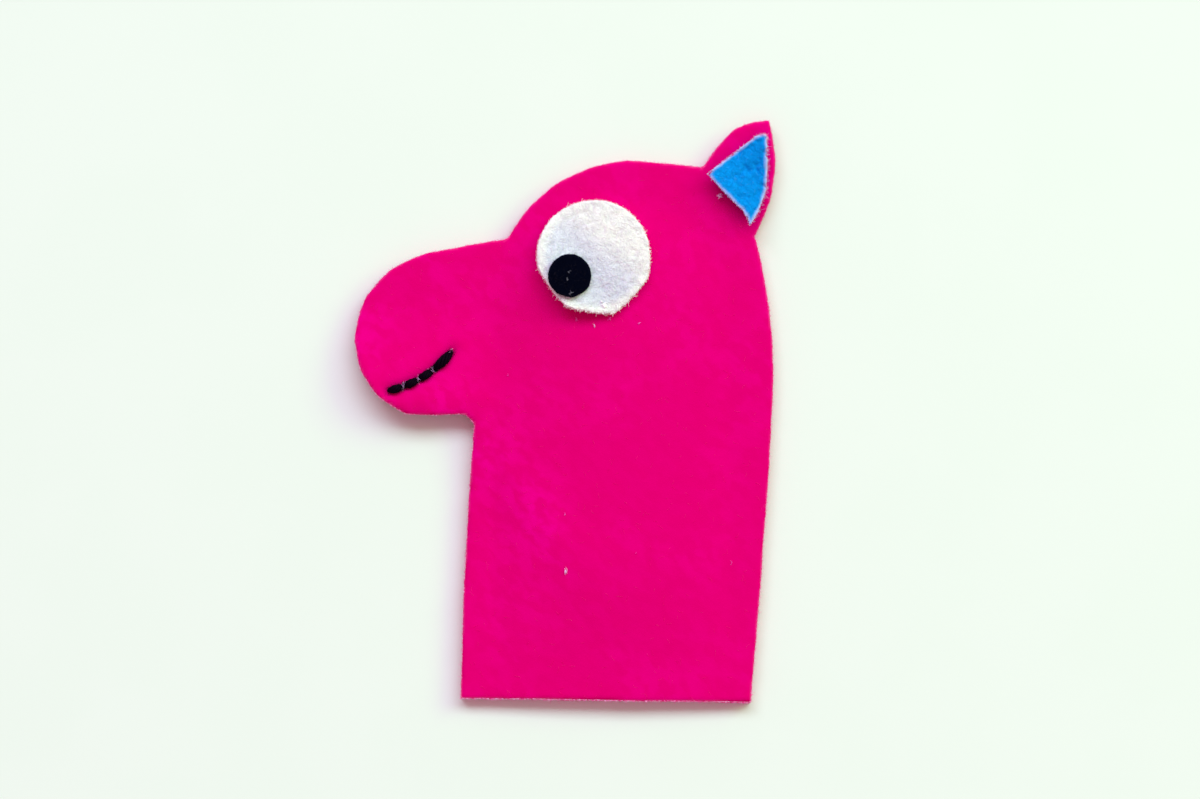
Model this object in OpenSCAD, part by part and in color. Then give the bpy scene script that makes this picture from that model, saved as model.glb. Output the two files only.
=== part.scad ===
// Felt finger puppet: a long-nosed animal's head and neck in profile, lying on its back panel.
// Two panels cut to one outline are glued along their edge, and stay open at the hem for a finger.
// Sizes are in millimetres. The outline is drawn flat, with its origin at the hem under the throat,
// and the whole puppet is then moved so that its box stands centred on the origin.

/* [Felt and glue] */
// Thickness of the felt of both panels
felt_t = 1.2; // [0.9:0.1:1.6]
// Thickness of the felt of the eye, the pupil and the inner ear
trim_t = 1.2; // [0.8:0.1:1.6]
// Thickness of a layer of fabric glue
glue_t = 0.2; // [0.1:0.05:0.3]
// How far the glue stays back from a cut edge
glue_inset = 1; // [0.6:0.1:1.6]

/* [Sleeve] */
// Length of the sleeve, from the hem to the chin
sleeve_l = 48.9; // [42:0.1:60]
// Width of the hem, across the open end
hem_w = 49.2; // [42:0.1:60]
// How far the hem's front corner stands out past the throat
hem_flare = 2.3; // [0:0.1:4]
// How much higher the hem is at its front corner
hem_rise = 0.7; // [0:0.1:1.5]

/* [Head] */
// Height of the head, from the chin to the crown
head_h = 43; // [36:0.5:52]
// Width of the head, from the throat to the nape
head_w = 50.6; // [44:0.1:61]
// Reach of the muzzle, from the throat to the nose
muzzle_l = 20.3; // [16:0.1:26]
// Drop from the crown to the brow, where the muzzle starts
brow_drop = 13.3; // [10:0.1:16]
// Distance from the throat to the brow, level
brow_in = 5.6; // [3:0.1:8]

/* [Ear] */
// Rise of the ear's tip above the crown
ear_rise = 6.8; // [4:0.1:12]
// Width of the ear where it leaves the head, level
ear_root_w = 8.8; // [7:0.1:12]
// Drop from the ear's front root to its back root
ear_root_drop = 11.7; // [9:0.1:14]

/* [Finger pocket] */
// Clear height of the pocket along its middle
pocket_h = 5.4; // [5:0.1:8]
// Width of the glued seam beside the pocket
seam_w = 4.2; // [3.6:0.1:6]
// Felt left between the end of the pocket and the crown
crown_seam = 7; // [6:0.1:12]

/* [Eye] */
// Diameter of the white of the eye
eye_d = 19.4; // [14:0.1:22]
// Distance of the eye's centre below the crown
eye_drop = 16.5; // [14:0.1:19]
// Distance of the eye's centre behind the brow
eye_in = 14.7; // [12:0.1:18]
// Diameter of the pupil
pupil_d = 7.3; // [5:0.1:9]
// How far the pupil's centre is from the eye's
pupil_off = 5.2; // [3:0.1:5.5]
// Direction of the pupil from the eye's centre, in degrees
pupil_angle = 218; // [180:1:270]

/* [Mouth] */
// Distance of the mouth's front end behind the nose
mouth_in = 5.7; // [4:0.1:7]
// Height of the mouth's front end above the chin
mouth_up = 3.9; // [3:0.1:5]
// Reach of the mouth, level
mouth_w = 10.9; // [8:0.1:12]
// Rise of the mouth to its back end
mouth_rise = 6.8; // [3:0.1:8]
// Sag of the smile below the line through its ends
mouth_sag = 1.3; // [0.5:0.1:2]
// Diameter of the floss where it shows
floss_d = 1.6; // [1.2:0.1:2]
// Diameter of the floss where it is pulled tight
tight_d = 0.8; // [0.6:0.1:1]

/* [Hinge lines] */
// Distance of the neck's bend line below the chin
neck_bend_drop = 6.4; // [6:0.1:12]
// Distance of the ear's bend line inside its root
ear_bend_in = 2.2; // [2:0.1:3]
// Clearance between two zones of felt at a bend line
bend_gap = 0.25; // [0.15:0.05:0.4]

/* [Hidden] */

// Roundness of every curve
$fn = 120;
// A length that is longer than the puppet each way
far = 150;
// Steps along each arc of the outline
arc_steps = 10;
// Clearance of glue round the pocket, and of the floss in the felt
pocket_gap = 0.4;
floss_gap = 0.05;

// Colours
pink = [0.91, 0.01, 0.47];
white = [0.94, 0.93, 0.94];
black = [0.02, 0.02, 0.07];
blue = [0.08, 0.54, 0.88];
glue = [0.9, 0.88, 0.8];

// Levels of the layers, from the surface that the puppet lies on
seam_z = felt_t;
front_z = seam_z + glue_t;
rim_z = front_z + felt_t;

// Corners of the outline
crown_v = sleeve_l + head_h;
hem_front = [-hem_flare, hem_rise];
hem_back = [hem_w - hem_flare, 0];
nape = [head_w, sleeve_l + 1.1];
ear_back = [head_w - 3, crown_v - 1.2 - ear_root_drop];
ear_front = [ear_back.x - ear_root_w, crown_v - 1.2];
ear_tip = [ear_back.x + 2.4, crown_v + ear_rise];
ear_shoulder = [ear_front.x + 5.4, ear_tip.y - 1.5];
brow = [brow_in, crown_v - brow_drop];
crown = [brow.x + 20.2, crown_v];
muzzle_top = [brow.x - 13.4, brow.y - 2.4];
nose = [-muzzle_l, (sleeve_l + brow.y) / 2 - 1.8];
chin_front = [nose.x + 8.7, sleeve_l];
chin_back = [-0.8, sleeve_l];
throat = [0, sleeve_l - 0.7];

// Corners of the cut felt, anticlockwise, each with the bulge of the arc that leaves it
corners = [
    [hem_front, 0], [hem_back, 0.2], [nape, 1.2], [ear_back, 2.1],
    [ear_tip, 0.3], [ear_shoulder, 0.8], [ear_front, 0.15], [crown, 3.2],
    [brow, 0.1], [muzzle_top, 3.3], [nose, 2.5], [chin_front, 0.2],
    [chin_back, -0.15], [throat, 0.4],
];
outline = felt_outline();

// Middle of the outline's box
middle = [
    (min([for (p = outline) p.x]) + max([for (p = outline) p.x])) / 2,
    (min([for (p = outline) p.y]) + max([for (p = outline) p.y])) / 2,
];

// Finger pocket: a tube of round-topped section with a round end
pocket_from = seam_w;
pocket_to = min(hem_back.x, nape.x) - seam_w;
pocket_half = (pocket_to - pocket_from) / 2;
pocket_u = (pocket_from + pocket_to) / 2;
pocket_r = (pow(pocket_half, 2) + pow(pocket_h, 2)) / (2 * pocket_h);
pocket_z = seam_z + pocket_h - pocket_r;
pocket_end = crown_v - crown_seam - pocket_half;

// Bend line of the neck, half way up the stack
neck_bend_v = sleeve_l - neck_bend_drop;
neck_bend_z = (seam_z + pocket_h + felt_t) / 2;
neck_knuckle_r = neck_bend_z * 1.28;

// Bend line of the ear, along its root and half way up the flat stack
ear_axis = unit(ear_back - ear_front);
ear_out = [-ear_axis.y, ear_axis.x];
ear_bend = (ear_front + ear_back) / 2 - ear_out * ear_bend_in;
ear_bend_z = rim_z / 2;
ear_knuckle_r = ear_bend_z * 1.54;

// Eye and mouth
eye = [brow.x + eye_in, crown_v - eye_drop];
pupil_at = eye + pupil_off * [cos(pupil_angle), sin(pupil_angle)];
mouth_front = [nose.x + mouth_in, sleeve_l + mouth_up];
mouth_back = mouth_front + [mouth_w, mouth_rise];
// Places of the needle holes along the mouth, as shares of its length
needle_holes = [0, 0.21, 0.42, 0.65, 1];
mouth = [for (t = needle_holes) on_arc(mouth_front, mouth_back, mouth_sag, t)];
knot_r = tight_d * 0.9;

// Inner ear: each corner stays in place beside a corner of the ear
inner_ear_corners = [
    ear_front + [0.7, -1.2],
    ear_back + [-1, 1.8],
    ear_back + [1.9, 8],
    ear_tip + [-0.5, -2.6],
    ear_tip + [-1.9, -2.6],
];

function unit(v) = v / norm(v);

// A point at share t of the arc from p to q that bulges to the right of its way by sag
function on_arc(p, q, sag, t) =
    let (way = unit(q - p), out = side(p, q), half = norm(q - p) / 2)
    abs(sag) < 0.01
        ? p + (q - p) * t
        : let (
              r = (half * half + sag * sag) / (2 * sag),
              turn = asin(half / r) * (2 * t - 1),
              centre = (p + q) / 2 + out * (sag - r)
          )
          centre + r * (out * cos(turn) + way * sin(turn));

// Points of such an arc, without its last one
function arc(p, q, sag) =
    abs(sag) < 0.01 ? [p] : [for (i = [0 : arc_steps - 1]) on_arc(p, q, sag, i / arc_steps)];

// Outward side of the straight way from p to q
function side(p, q) = let (way = unit(q - p)) [way.y, -way.x];

// The felt's outline, with each edge moved inwards
function felt_outline(by = 0) =
    let (
        n = len(corners),
        moved = [
            for (i = [0 : n - 1])
                let (
                    at = corners[i][0],
                    before = side(corners[(i + n - 1) % n][0], at),
                    after = side(at, corners[(i + 1) % n][0])
                )
                at - by * (before + after) / (1 + before * after)
        ]
    )
    [for (i = [0 : n - 1]) each arc(moved[i], moved[(i + 1) % n], corners[i][1])];

// A small outline's corners moved towards its middle
function shrink(points, by) =
    let (centre = [for (p = points) 1 / len(points)] * points)
    [for (p = points) p + by * unit(centre - p)];

// Moves the drawn puppet to its place
module placed() {
    translate([-middle.x, -middle.y, 0]) children();
}

// A slab with the felt's outline
module slab(from, to, by = 0) {
    translate([0, 0, from])
        linear_extrude(to - from)
            polygon(felt_outline(by));
}

// A tube along the pocket with a ball end, of radius r about the pocket's own centre line
module finger_form(r) {
    translate([pocket_u, -far / 2, pocket_z])
        rotate([-90, 0, 0])
            cylinder(r = r, h = far / 2 + pocket_end);
    translate([pocket_u, pocket_end, pocket_z])
        sphere(r = r);
}

// Everything below the puppet's front surface when that is raised by lift
module below_front(lift) {
    translate([-far / 2, -far / 2, -far])
        cube([2 * far, 2 * far, far + rim_z + lift]);
    finger_form(pocket_r + felt_t + lift);
}

// The sleeve's side of the neck's bend line, with a knuckle that the head turns about
module sleeve_side(gap = 0) {
    translate([-far / 2, -far / 2, -far / 2])
        cube([2 * far, far / 2 + neck_bend_v, far]);
    translate([-far / 2, neck_bend_v, neck_bend_z])
        rotate([0, 90, 0])
            cylinder(r = neck_knuckle_r + gap, h = 2 * far);
}

// The head's side of the ear's bend line, with a knuckle that the ear turns about
module head_side(gap = 0) {
    translate([ear_bend.x, ear_bend.y, ear_bend_z])
        rotate([0, 0, atan2(ear_axis.y, ear_axis.x)]) {
            translate([-far, -2 * far, -far / 2])
                cube([2 * far, 2 * far, far]);
            translate([-far, 0, 0])
                rotate([0, 90, 0])
                    cylinder(r = ear_knuckle_r + gap, h = 2 * far);
        }
}

// The part of its children that is in one zone
module neck_zone() {
    intersection() {
        children();
        sleeve_side();
    }
}

module head_zone() {
    difference() {
        intersection() {
            children();
            head_side();
        }
        sleeve_side(bend_gap);
    }
}

module ear_zone() {
    difference() {
        children();
        head_side(bend_gap);
    }
}

// The flat front panel's blank and the raised one over the pocket
module flat_front() {
    slab(front_z, rim_z);
}

module raised_front() {
    difference() {
        intersection() {
            slab(front_z, rim_z + far);
            below_front(0);
        }
        finger_form(pocket_r);
    }
}

// A layer that follows the front surface, between two heights above it
module front_layer(from, to) {
    difference() {
        intersection() {
            children();
            below_front(to);
        }
        below_front(from);
    }
}

// A disc's upright blank
module disc_blank(at, d) {
    translate([at.x, at.y, 0])
        cylinder(d = d, h = far);
}

// Seam glue between the panels, clear of the pocket
module seam_glue() {
    difference() {
        slab(seam_z, front_z, glue_inset);
        translate([pocket_from - pocket_gap, -far, 0])
            cube([2 * (pocket_half + pocket_gap), far + pocket_end, far]);
        translate([pocket_u, pocket_end, 0])
            cylinder(r = pocket_half + pocket_gap, h = far);
    }
}

// A round-ended rod of plump floss between two points at one height
module rod(p, q, z, r) {
    $fn = 24;
    translate([p.x, p.y, z])
        rotate([0, 0, atan2(q.y - p.y, q.x - p.x)]) {
            rotate([0, 90, 0])
                cylinder(r = r, h = norm(q - p));
            sphere(r = r);
            translate([norm(q - p), 0, 0])
                sphere(r = r);
        }
}

// Floss between the panels, pressed flat: its run, a knot at each end, and its legs up the holes
module floss_run(gap = 0) {
    $fn = 24;
    leg_r = tight_d / 2 + gap;
    run_w = tight_d * 0.8 + 2 * gap;
    run_h = tight_d * 0.6 + 2 * gap;
    run_z = (seam_z + front_z) / 2;
    last = len(mouth) - 1;
    for (i = [0 : last - 1])
        let (way = mouth[i + 1] - mouth[i])
        translate([mouth[i].x, mouth[i].y, run_z - run_h / 2])
            rotate([0, 0, atan2(way.y, way.x)])
                translate([0, -run_w / 2, 0])
                    cube([norm(way), run_w, run_h]);
    for (p = [mouth[0], mouth[last]])
        translate([p.x, p.y, run_z])
            sphere(r = knot_r + gap);
    for (p = mouth)
        translate([p.x, p.y, run_z - run_h / 2])
            cylinder(r = leg_r, h = gap > 0 ? far : rim_z - run_z + run_h / 2);
}

// A slab of the inner ear's outline
module inner_ear_slab(from, to, by = 0) {
    translate([0, 0, from])
        linear_extrude(to - from)
            polygon(shrink(inner_ear_corners, by));
}

module back_panel_neck() {
    color(pink) placed() neck_zone() slab(0, seam_z);
}

module back_panel_head() {
    color(pink) placed() difference() {
        head_zone() slab(0, seam_z);
        floss_run(floss_gap);
    }
}

module back_panel_ear() {
    color(pink) placed() ear_zone() slab(0, seam_z);
}

module front_panel_neck() {
    color(pink) placed() neck_zone() raised_front();
}

module front_panel_head() {
    color(pink) placed() difference() {
        head_zone() raised_front();
        floss_run(floss_gap);
    }
}

module front_panel_ear() {
    color(pink) placed() ear_zone() flat_front();
}

module seam_glue_throat() {
    color(glue) placed() neck_zone() intersection() {
        seam_glue();
        translate([-far, -far, 0]) cube([far + pocket_u, 2 * far, far]);
    }
}

module seam_glue_nape() {
    color(glue) placed() neck_zone() intersection() {
        seam_glue();
        translate([pocket_u, -far, 0]) cube([far, 2 * far, far]);
    }
}

module seam_glue_head() {
    color(glue) placed() difference() {
        head_zone() seam_glue();
        floss_run(floss_gap);
    }
}

module seam_glue_ear() {
    color(glue) placed() ear_zone() seam_glue();
}

module eye_glue() {
    color(glue) placed() front_layer(0, glue_t) disc_blank(eye, eye_d - 2 * glue_inset);
}

module eye_white() {
    color(white) placed() front_layer(glue_t, glue_t + trim_t) disc_blank(eye, eye_d);
}

module pupil_glue() {
    from = glue_t + trim_t;
    color(glue) placed() front_layer(from, from + glue_t) disc_blank(pupil_at, pupil_d - 2 * glue_inset);
}

module pupil() {
    from = 2 * glue_t + trim_t;
    color(black) placed() front_layer(from, from + trim_t) disc_blank(pupil_at, pupil_d);
}

module inner_ear_glue() {
    color(glue) placed() inner_ear_slab(rim_z, rim_z + glue_t, 2 * glue_inset);
}

module inner_ear() {
    color(blue) placed() inner_ear_slab(rim_z + glue_t, rim_z + glue_t + trim_t);
}

module mouth_stitches() {
    r = floss_d / 2;
    color(black) placed() difference() {
        for (i = [0 : len(mouth) - 2])
            let (way = unit(mouth[i + 1] - mouth[i]), end = r + floss_gap)
            rod(mouth[i] + way * end, mouth[i + 1] - way * end, rim_z + r * 0.3, r);
        below_front(0);
    }
}

module mouth_thread_inside() {
    color(black) placed() floss_run();
}

back_panel_neck();
back_panel_head();
back_panel_ear();
front_panel_neck();
front_panel_head();
front_panel_ear();
seam_glue_throat();
seam_glue_nape();
seam_glue_head();
seam_glue_ear();
eye_glue();
eye_white();
pupil_glue();
pupil();
inner_ear_glue();
inner_ear();
mouth_stitches();
mouth_thread_inside();
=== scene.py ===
"""Felt finger puppet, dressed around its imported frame.

Shapes are drawn in millimetres in the frame's own axes and stored in metres. The puppet lies on
its back panel: +X runs from nose to nape, +Y from hem to crown, and +Z out of the decorated front.
"""

import logging
import math
import random
from collections.abc import Callable, Iterable, Sequence
from dataclasses import dataclass, field, replace
from enum import Enum
from typing import Any

import bmesh
import bpy
import numpy as np
from mathutils import Matrix, Vector, noise
from mathutils.bvhtree import BVHTree


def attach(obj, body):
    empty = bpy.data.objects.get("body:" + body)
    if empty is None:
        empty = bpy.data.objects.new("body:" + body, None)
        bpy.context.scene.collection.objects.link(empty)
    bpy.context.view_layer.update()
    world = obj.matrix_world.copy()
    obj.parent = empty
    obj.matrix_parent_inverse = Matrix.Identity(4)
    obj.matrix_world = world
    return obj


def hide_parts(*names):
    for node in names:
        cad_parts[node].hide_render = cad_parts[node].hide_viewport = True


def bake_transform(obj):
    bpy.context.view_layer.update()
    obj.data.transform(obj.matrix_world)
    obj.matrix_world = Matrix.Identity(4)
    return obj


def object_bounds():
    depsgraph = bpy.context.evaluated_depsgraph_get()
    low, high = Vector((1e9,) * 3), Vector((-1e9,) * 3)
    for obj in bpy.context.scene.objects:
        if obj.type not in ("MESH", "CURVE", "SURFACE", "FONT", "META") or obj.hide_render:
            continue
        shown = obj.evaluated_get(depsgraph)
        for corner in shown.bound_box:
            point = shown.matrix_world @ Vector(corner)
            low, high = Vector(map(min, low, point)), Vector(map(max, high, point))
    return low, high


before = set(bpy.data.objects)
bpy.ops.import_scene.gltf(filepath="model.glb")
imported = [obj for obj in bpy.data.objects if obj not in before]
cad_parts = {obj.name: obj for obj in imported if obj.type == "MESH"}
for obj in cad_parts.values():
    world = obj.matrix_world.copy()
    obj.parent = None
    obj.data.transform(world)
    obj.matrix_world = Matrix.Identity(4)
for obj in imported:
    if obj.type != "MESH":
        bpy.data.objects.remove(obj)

MM = 0.001
LOG = logging.getLogger("puppet")
CAD_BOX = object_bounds()
Points = np.ndarray
Level = Callable[[float, float], float]
Colour = tuple[float, float, float, float]


class Body(Enum):
    """The frame's bodies."""

    SLEEVE = "sleeve"
    HEAD = "head"
    EAR = "ear"


class Slot(Enum):
    """The record's finishes."""

    PINK = "pink_felt"
    WHITE = "white_felt"
    BLACK = "black_felt"
    BLUE = "blue_felt"
    FLOSS = "black_floss"
    GLUE = "fabric_glue"


# ---------------------------------------------------------------- small helpers


def smoothstep(low: float, high: float, value: Points | float) -> Points | float:
    """Rises smoothly from 0 at low to 1 at high."""
    t = np.clip((value - low) / (high - low), 0, 1)
    return t * t * (3 - 2 * t)


def roughness_at(point: Sequence[float], size: float, seed: float) -> float:
    """Smooth noise from about -1 to 1.

    Args:
        point: Where, in millimetres.
        size: Width of a lump, in millimetres.
        seed: Offset that gives each use its own pattern.

    Returns:
        The noise's value.
    """
    x, y, z = (float(c) / size for c in point)
    return noise.noise(Vector((x + seed, y - seed, z + 0.37 * seed)))


def lumps(points: Points, size: float, seed: float) -> Points:
    """The noise of roughness_at at each of many points."""
    return np.array([roughness_at(p, size, seed) for p in points])


def vertices_of(mesh: bpy.types.Mesh) -> Points:
    """A mesh's points as an array of rows."""
    flat = np.empty(len(mesh.vertices) * 3)
    mesh.vertices.foreach_get("co", flat)
    return flat.reshape(-1, 3)


def normals_of(mesh: bpy.types.Mesh) -> Points:
    """A mesh's vertex normals as an array of rows."""
    flat = np.empty(len(mesh.vertices) * 3, np.float32)
    mesh.vertex_normals.foreach_get("vector", flat)
    return flat.reshape(-1, 3).astype(float)


def put_vertices(mesh: bpy.types.Mesh, points: Points) -> None:
    """Writes an array of rows back into a mesh's points."""
    mesh.vertices.foreach_set("co", points.reshape(-1))
    mesh.update()


def object_from(name: str, mesh: bpy.types.Mesh) -> bpy.types.Object:
    """A linked object at the origin that holds a mesh."""
    obj = bpy.data.objects.new(name, mesh)
    bpy.context.scene.collection.objects.link(obj)
    return obj


def object_from_bmesh(name: str, bm: bmesh.types.BMesh) -> bpy.types.Object:
    """A linked object made from a bmesh, which is then freed."""
    mesh = bpy.data.meshes.new(name)
    bm.to_mesh(mesh)
    bm.free()
    return object_from(name, mesh)


def settle(obj: bpy.types.Object) -> bpy.types.Object:
    """Applies an object's modifiers to its mesh.

    Args:
        obj: An object whose modifiers are live.

    Returns:
        The same object, with none left.
    """
    bpy.context.view_layer.update()
    made = obj.evaluated_get(bpy.context.evaluated_depsgraph_get())
    mesh = bpy.data.meshes.new_from_object(made)
    obj.modifiers.clear()
    old, obj.data = obj.data, mesh
    bpy.data.meshes.remove(old)
    return obj


def to_metres(obj: bpy.types.Object) -> bpy.types.Object:
    """Scales a mesh drawn in millimetres to the frame's metres and shades it smooth."""
    obj.data.transform(Matrix.Scale(MM, 4))
    for polygon in obj.data.polygons:
        polygon.use_smooth = True
    obj.data.update()
    return obj


def edge_distance(points: Points, outline: Points) -> Points:
    """Distance of each point from an outline, level.

    Args:
        points: Rows that start with x and y.
        outline: Rows of x and y, joined in a loop.

    Returns:
        One distance for each point.
    """
    nearest = np.full(len(points), 1e9)
    flat = points[:, :2]
    for start, end in zip(outline, np.roll(outline, -1, axis=0)):
        way = end - start
        share = np.clip(((flat - start) @ way) / max(way @ way, 1e-12), 0, 1)
        gap = flat - start - share[:, None] * way
        nearest = np.minimum(nearest, np.hypot(gap[:, 0], gap[:, 1]))
    return nearest


def inside(points: Points, outline: Points) -> Points:
    """Whether each point lies inside an outline, seen from above."""
    result = np.zeros(len(points), bool)
    x, y = points[:, 0], points[:, 1]
    for (ax, ay), (bx, by) in zip(outline, np.roll(outline, -1, axis=0)):
        crosses = (ay > y) != (by > y)
        rise = by - ay if abs(by - ay) > 1e-12 else 1e-12
        result ^= crosses & (x < (bx - ax) * (y - ay) / rise + ax)
    return result


def flat_area(outline: Points) -> float:
    """Area inside an outline, in the outline's units squared."""
    following = np.roll(outline, -1, axis=0)
    return 0.5 * abs(float(np.sum(outline[:, 0] * following[:, 1] - following[:, 0] * outline[:, 1])))


# ---------------------------------------------------------------- what was cut


@dataclass(frozen=True)
class CutShape:
    """A shape cut from felt: corners joined by arcs, anticlockwise.

    Each corner is x, y and how far the arc that leaves it bulges outwards.
    """

    corners: tuple[tuple[float, float, float], ...]
    origin: tuple[float, float] = (0.0, 0.0)
    step: float = 0.7
    snip: float = 0.0
    snip_bulge: float = 0.35
    wobble: float = 0.0
    seed: float = 0.0

    def _moved(self, inset: float) -> list[tuple[Vector, float]]:
        """The corners moved inwards, with their bulges."""
        at = [Vector(c[:2]) + Vector(self.origin) for c in self.corners]
        moved = []
        for i, here in enumerate(at):
            ahead = (at[(i + 1) % len(at)] - here).normalized()
            behind = (here - at[i - 1]).normalized()
            before, after = Vector((behind.y, -behind.x)), Vector((ahead.y, -ahead.x))
            shift = (before + after) / (1 + before.dot(after))
            moved.append((here - inset * shift, self.corners[i][2]))
        return moved

    def points(self, inset: float = 0.0) -> Points:
        """The outline's points, with the scissors' small wander.

        Args:
            inset: How far each edge is moved inwards.

        Returns:
            Rows of x and y, in millimetres.
        """
        corners = self._moved(inset)
        rows = []
        for i, (start, bulge) in enumerate(corners):
            end = corners[(i + 1) % len(corners)][0]
            rows.extend(tuple(point) for point in self._edge(start, end, bulge))
        outline = np.array(rows)
        if self.wobble > 0:
            ahead, behind = np.roll(outline, -1, axis=0), np.roll(outline, 1, axis=0)
            way = (ahead - behind) / np.linalg.norm(ahead - behind, axis=1)[:, None]
            out = np.stack([way[:, 1], -way[:, 0]], axis=1)
            wander = [
                0.65 * roughness_at((x, y, 0), 7.0, self.seed)
                + 0.35 * roughness_at((x, y, 5), 2.2, self.seed + 3)
                for x, y in outline
            ]
            outline = outline + self.wobble * np.array(wander)[:, None] * out
        return outline

    def _edge(self, start: Vector, end: Vector, bulge: float) -> list[Vector]:
        """One side of the shape, cut in a few nearly straight snips."""
        snips = max(1, round((end - start).length / self.snip)) if self.snip > 0 else 1
        marks = [*self._on_arc(start, end, bulge, snips), end]
        own = bulge / snips**2 * (self.snip_bulge if snips > 1 else 1.0)
        points = []
        for first, last in zip(marks, marks[1:]):
            points += self._on_arc(first, last, own, max(1, round((last - first).length / self.step)))
        return points

    @staticmethod
    def _on_arc(start: Vector, end: Vector, bulge: float, count: int) -> list[Vector]:
        """Evenly spaced points of an arc, from start up to, and without, end."""
        chord = end - start
        if abs(bulge) < 0.002:
            return [start + chord * (i / count) for i in range(count)]
        half, way = chord.length / 2, chord.normalized()
        out = Vector((way.y, -way.x))
        radius = (half * half + bulge * bulge) / (2 * bulge)
        turn = math.asin(max(-1.0, min(1.0, half / radius)))
        centre = (start + end) / 2 + out * (bulge - radius)
        angles = [turn * (2 * i / count - 1) for i in range(count)]
        return [centre + radius * (out * math.cos(a) + way * math.sin(a)) for a in angles]


@dataclass(frozen=True)
class Pattern:
    """The puppet's pattern, drawn with its origin at the hem under the throat."""

    felt_t: float = 1.2
    glue_t: float = 0.2
    sleeve_l: float = 48.9
    hem_w: float = 49.2
    hem_flare: float = 2.3
    hem_rise: float = 0.7
    head_h: float = 43.0
    head_w: float = 50.6
    muzzle_l: float = 20.3
    brow_drop: float = 13.3
    brow_in: float = 5.6
    ear_rise: float = 6.8
    ear_root_w: float = 8.8
    ear_root_drop: float = 11.7
    ear_set_down: float = 1.2
    seam_w: float = 4.2
    crown_seam: float = 7.0
    eye_d: float = 19.4
    eye_drop: float = 16.5
    eye_in: float = 14.7
    pupil_d: float = 7.3
    pupil_off: float = 5.2
    pupil_angle: float = 218.0
    mouth_in: float = 5.7
    mouth_up: float = 3.9
    mouth_w: float = 10.9
    mouth_rise: float = 6.8
    mouth_sag: float = 1.15

    @property
    def origin(self) -> tuple[float, float]:
        """Where the pattern's origin lies in the frame, from the frame's box."""
        low = CAD_BOX[0] / MM
        return (low.x + self.muzzle_l, low.y)

    @property
    def crown_y(self) -> float:
        """Height of the crown above the hem."""
        return self.sleeve_l + self.head_h

    def place(self, x: float, y: float) -> Vector:
        """A pattern point in the frame, in millimetres."""
        return Vector((x + self.origin[0], y + self.origin[1]))

    @property
    def ear_front(self) -> tuple[float, float]:
        """The ear's front root, in the pattern."""
        return (self.ear_back[0] - self.ear_root_w, self.crown_y - self.ear_set_down)

    @property
    def ear_back(self) -> tuple[float, float]:
        """The ear's back root, in the pattern."""
        return (self.head_w - 3.0, self.crown_y - self.ear_set_down - self.ear_root_drop)

    @property
    def ear_tip(self) -> tuple[float, float]:
        """The ear's tip, in the pattern."""
        return (self.ear_back[0] + 2.4, self.crown_y + self.ear_rise)

    def panel(self, wobble: float, seed: float) -> CutShape:
        """The outline that both panels are cut to."""
        chin, crown = self.sleeve_l, self.crown_y
        brow = (self.brow_in, crown - self.brow_drop)
        front, tip = self.ear_front, self.ear_tip
        nose_y = (chin + brow[1]) / 2 - 1.8
        corners = (
            (-self.hem_flare, self.hem_rise, 0.0),
            (self.hem_w - self.hem_flare, 0.0, 0.2),
            (self.head_w, chin + 1.1, 1.2),
            (*self.ear_back, 2.1),
            (*tip, 0.3),
            (front[0] + 5.4, tip[1] - 1.5, 0.35),
            (*front, 0.15),
            (brow[0] + 20.2, crown, 3.2),
            (*brow, 0.1),
            (brow[0] - 13.4, brow[1] - 2.4, 3.3),
            (-self.muzzle_l, nose_y, 2.5),
            (8.7 - self.muzzle_l, chin, 0.2),
            (-1.7, chin, -0.12),
            (0.0, chin - 1.8, 0.4),
        )
        return CutShape(corners, self.origin, snip=6.2, snip_bulge=0.55, wobble=wobble, seed=seed)

    def disc(self, at: tuple[float, float], size: float, ring: Sequence[tuple[float, float]]) -> CutShape:
        """A hand-cut disc: a ring of snips, rounder above than below.

        Args:
            at: Its centre, in the pattern.
            size: Its diameter.
            ring: Each corner's direction, in degrees, and its share of the radius.

        Returns:
            The disc's shape.
        """
        corners = []
        for i, (degrees, share) in enumerate(ring):
            angle, radius = math.radians(degrees), size / 2 * share
            half_gap = math.radians((ring[(i + 1) % len(ring)][0] - degrees) % 360) / 2
            rounded = 0.4 + 0.55 * float(smoothstep(-0.5, 0.4, math.sin(angle + half_gap)))
            bulge = rounded * size / 2 * (1 - math.cos(half_gap))
            corners.append((at[0] + radius * math.cos(angle), at[1] + radius * math.sin(angle), bulge))
        return CutShape(tuple(corners), self.origin, step=0.5, wobble=0.014 * size**0.9, seed=size)

    @property
    def eye_at(self) -> tuple[float, float]:
        """The eye's centre, in the pattern."""
        return (self.brow_in + self.eye_in, self.crown_y - self.eye_drop)

    @property
    def pupil_at(self) -> tuple[float, float]:
        """The pupil's centre, in the pattern."""
        angle, (x, y) = math.radians(self.pupil_angle), self.eye_at
        return (x + self.pupil_off * math.cos(angle), y + self.pupil_off * math.sin(angle))

    def inner_ear(self) -> CutShape:
        """The blue lining's outline, set inside the ear."""
        back, front, tip = self.ear_back, self.ear_front, self.ear_tip
        corners = (
            (front[0] + 0.7, front[1] - 1.2, 0.1),
            (back[0] - 2.2, back[1] + 4.4, -0.1),
            (back[0] - 0.9, back[1] + 1.8, 0.25),
            (back[0] + 1.9, back[1] + 8.0, 0.1),
            (tip[0] - 0.5, tip[1] - 2.6, 0.1),
            (tip[0] - 1.9, tip[1] - 2.6, 0.1),
        )
        return CutShape(corners, self.origin, step=0.5, wobble=0.12, seed=8.0)

    @property
    def pocket(self) -> tuple[float, float, float]:
        """The pocket's left and right sides and the centre height of its round end."""
        left, right = self.seam_w, min(self.hem_w - self.hem_flare, self.head_w) - self.seam_w
        return (left, right, self.crown_y - self.crown_seam - (right - left) / 2)

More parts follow.
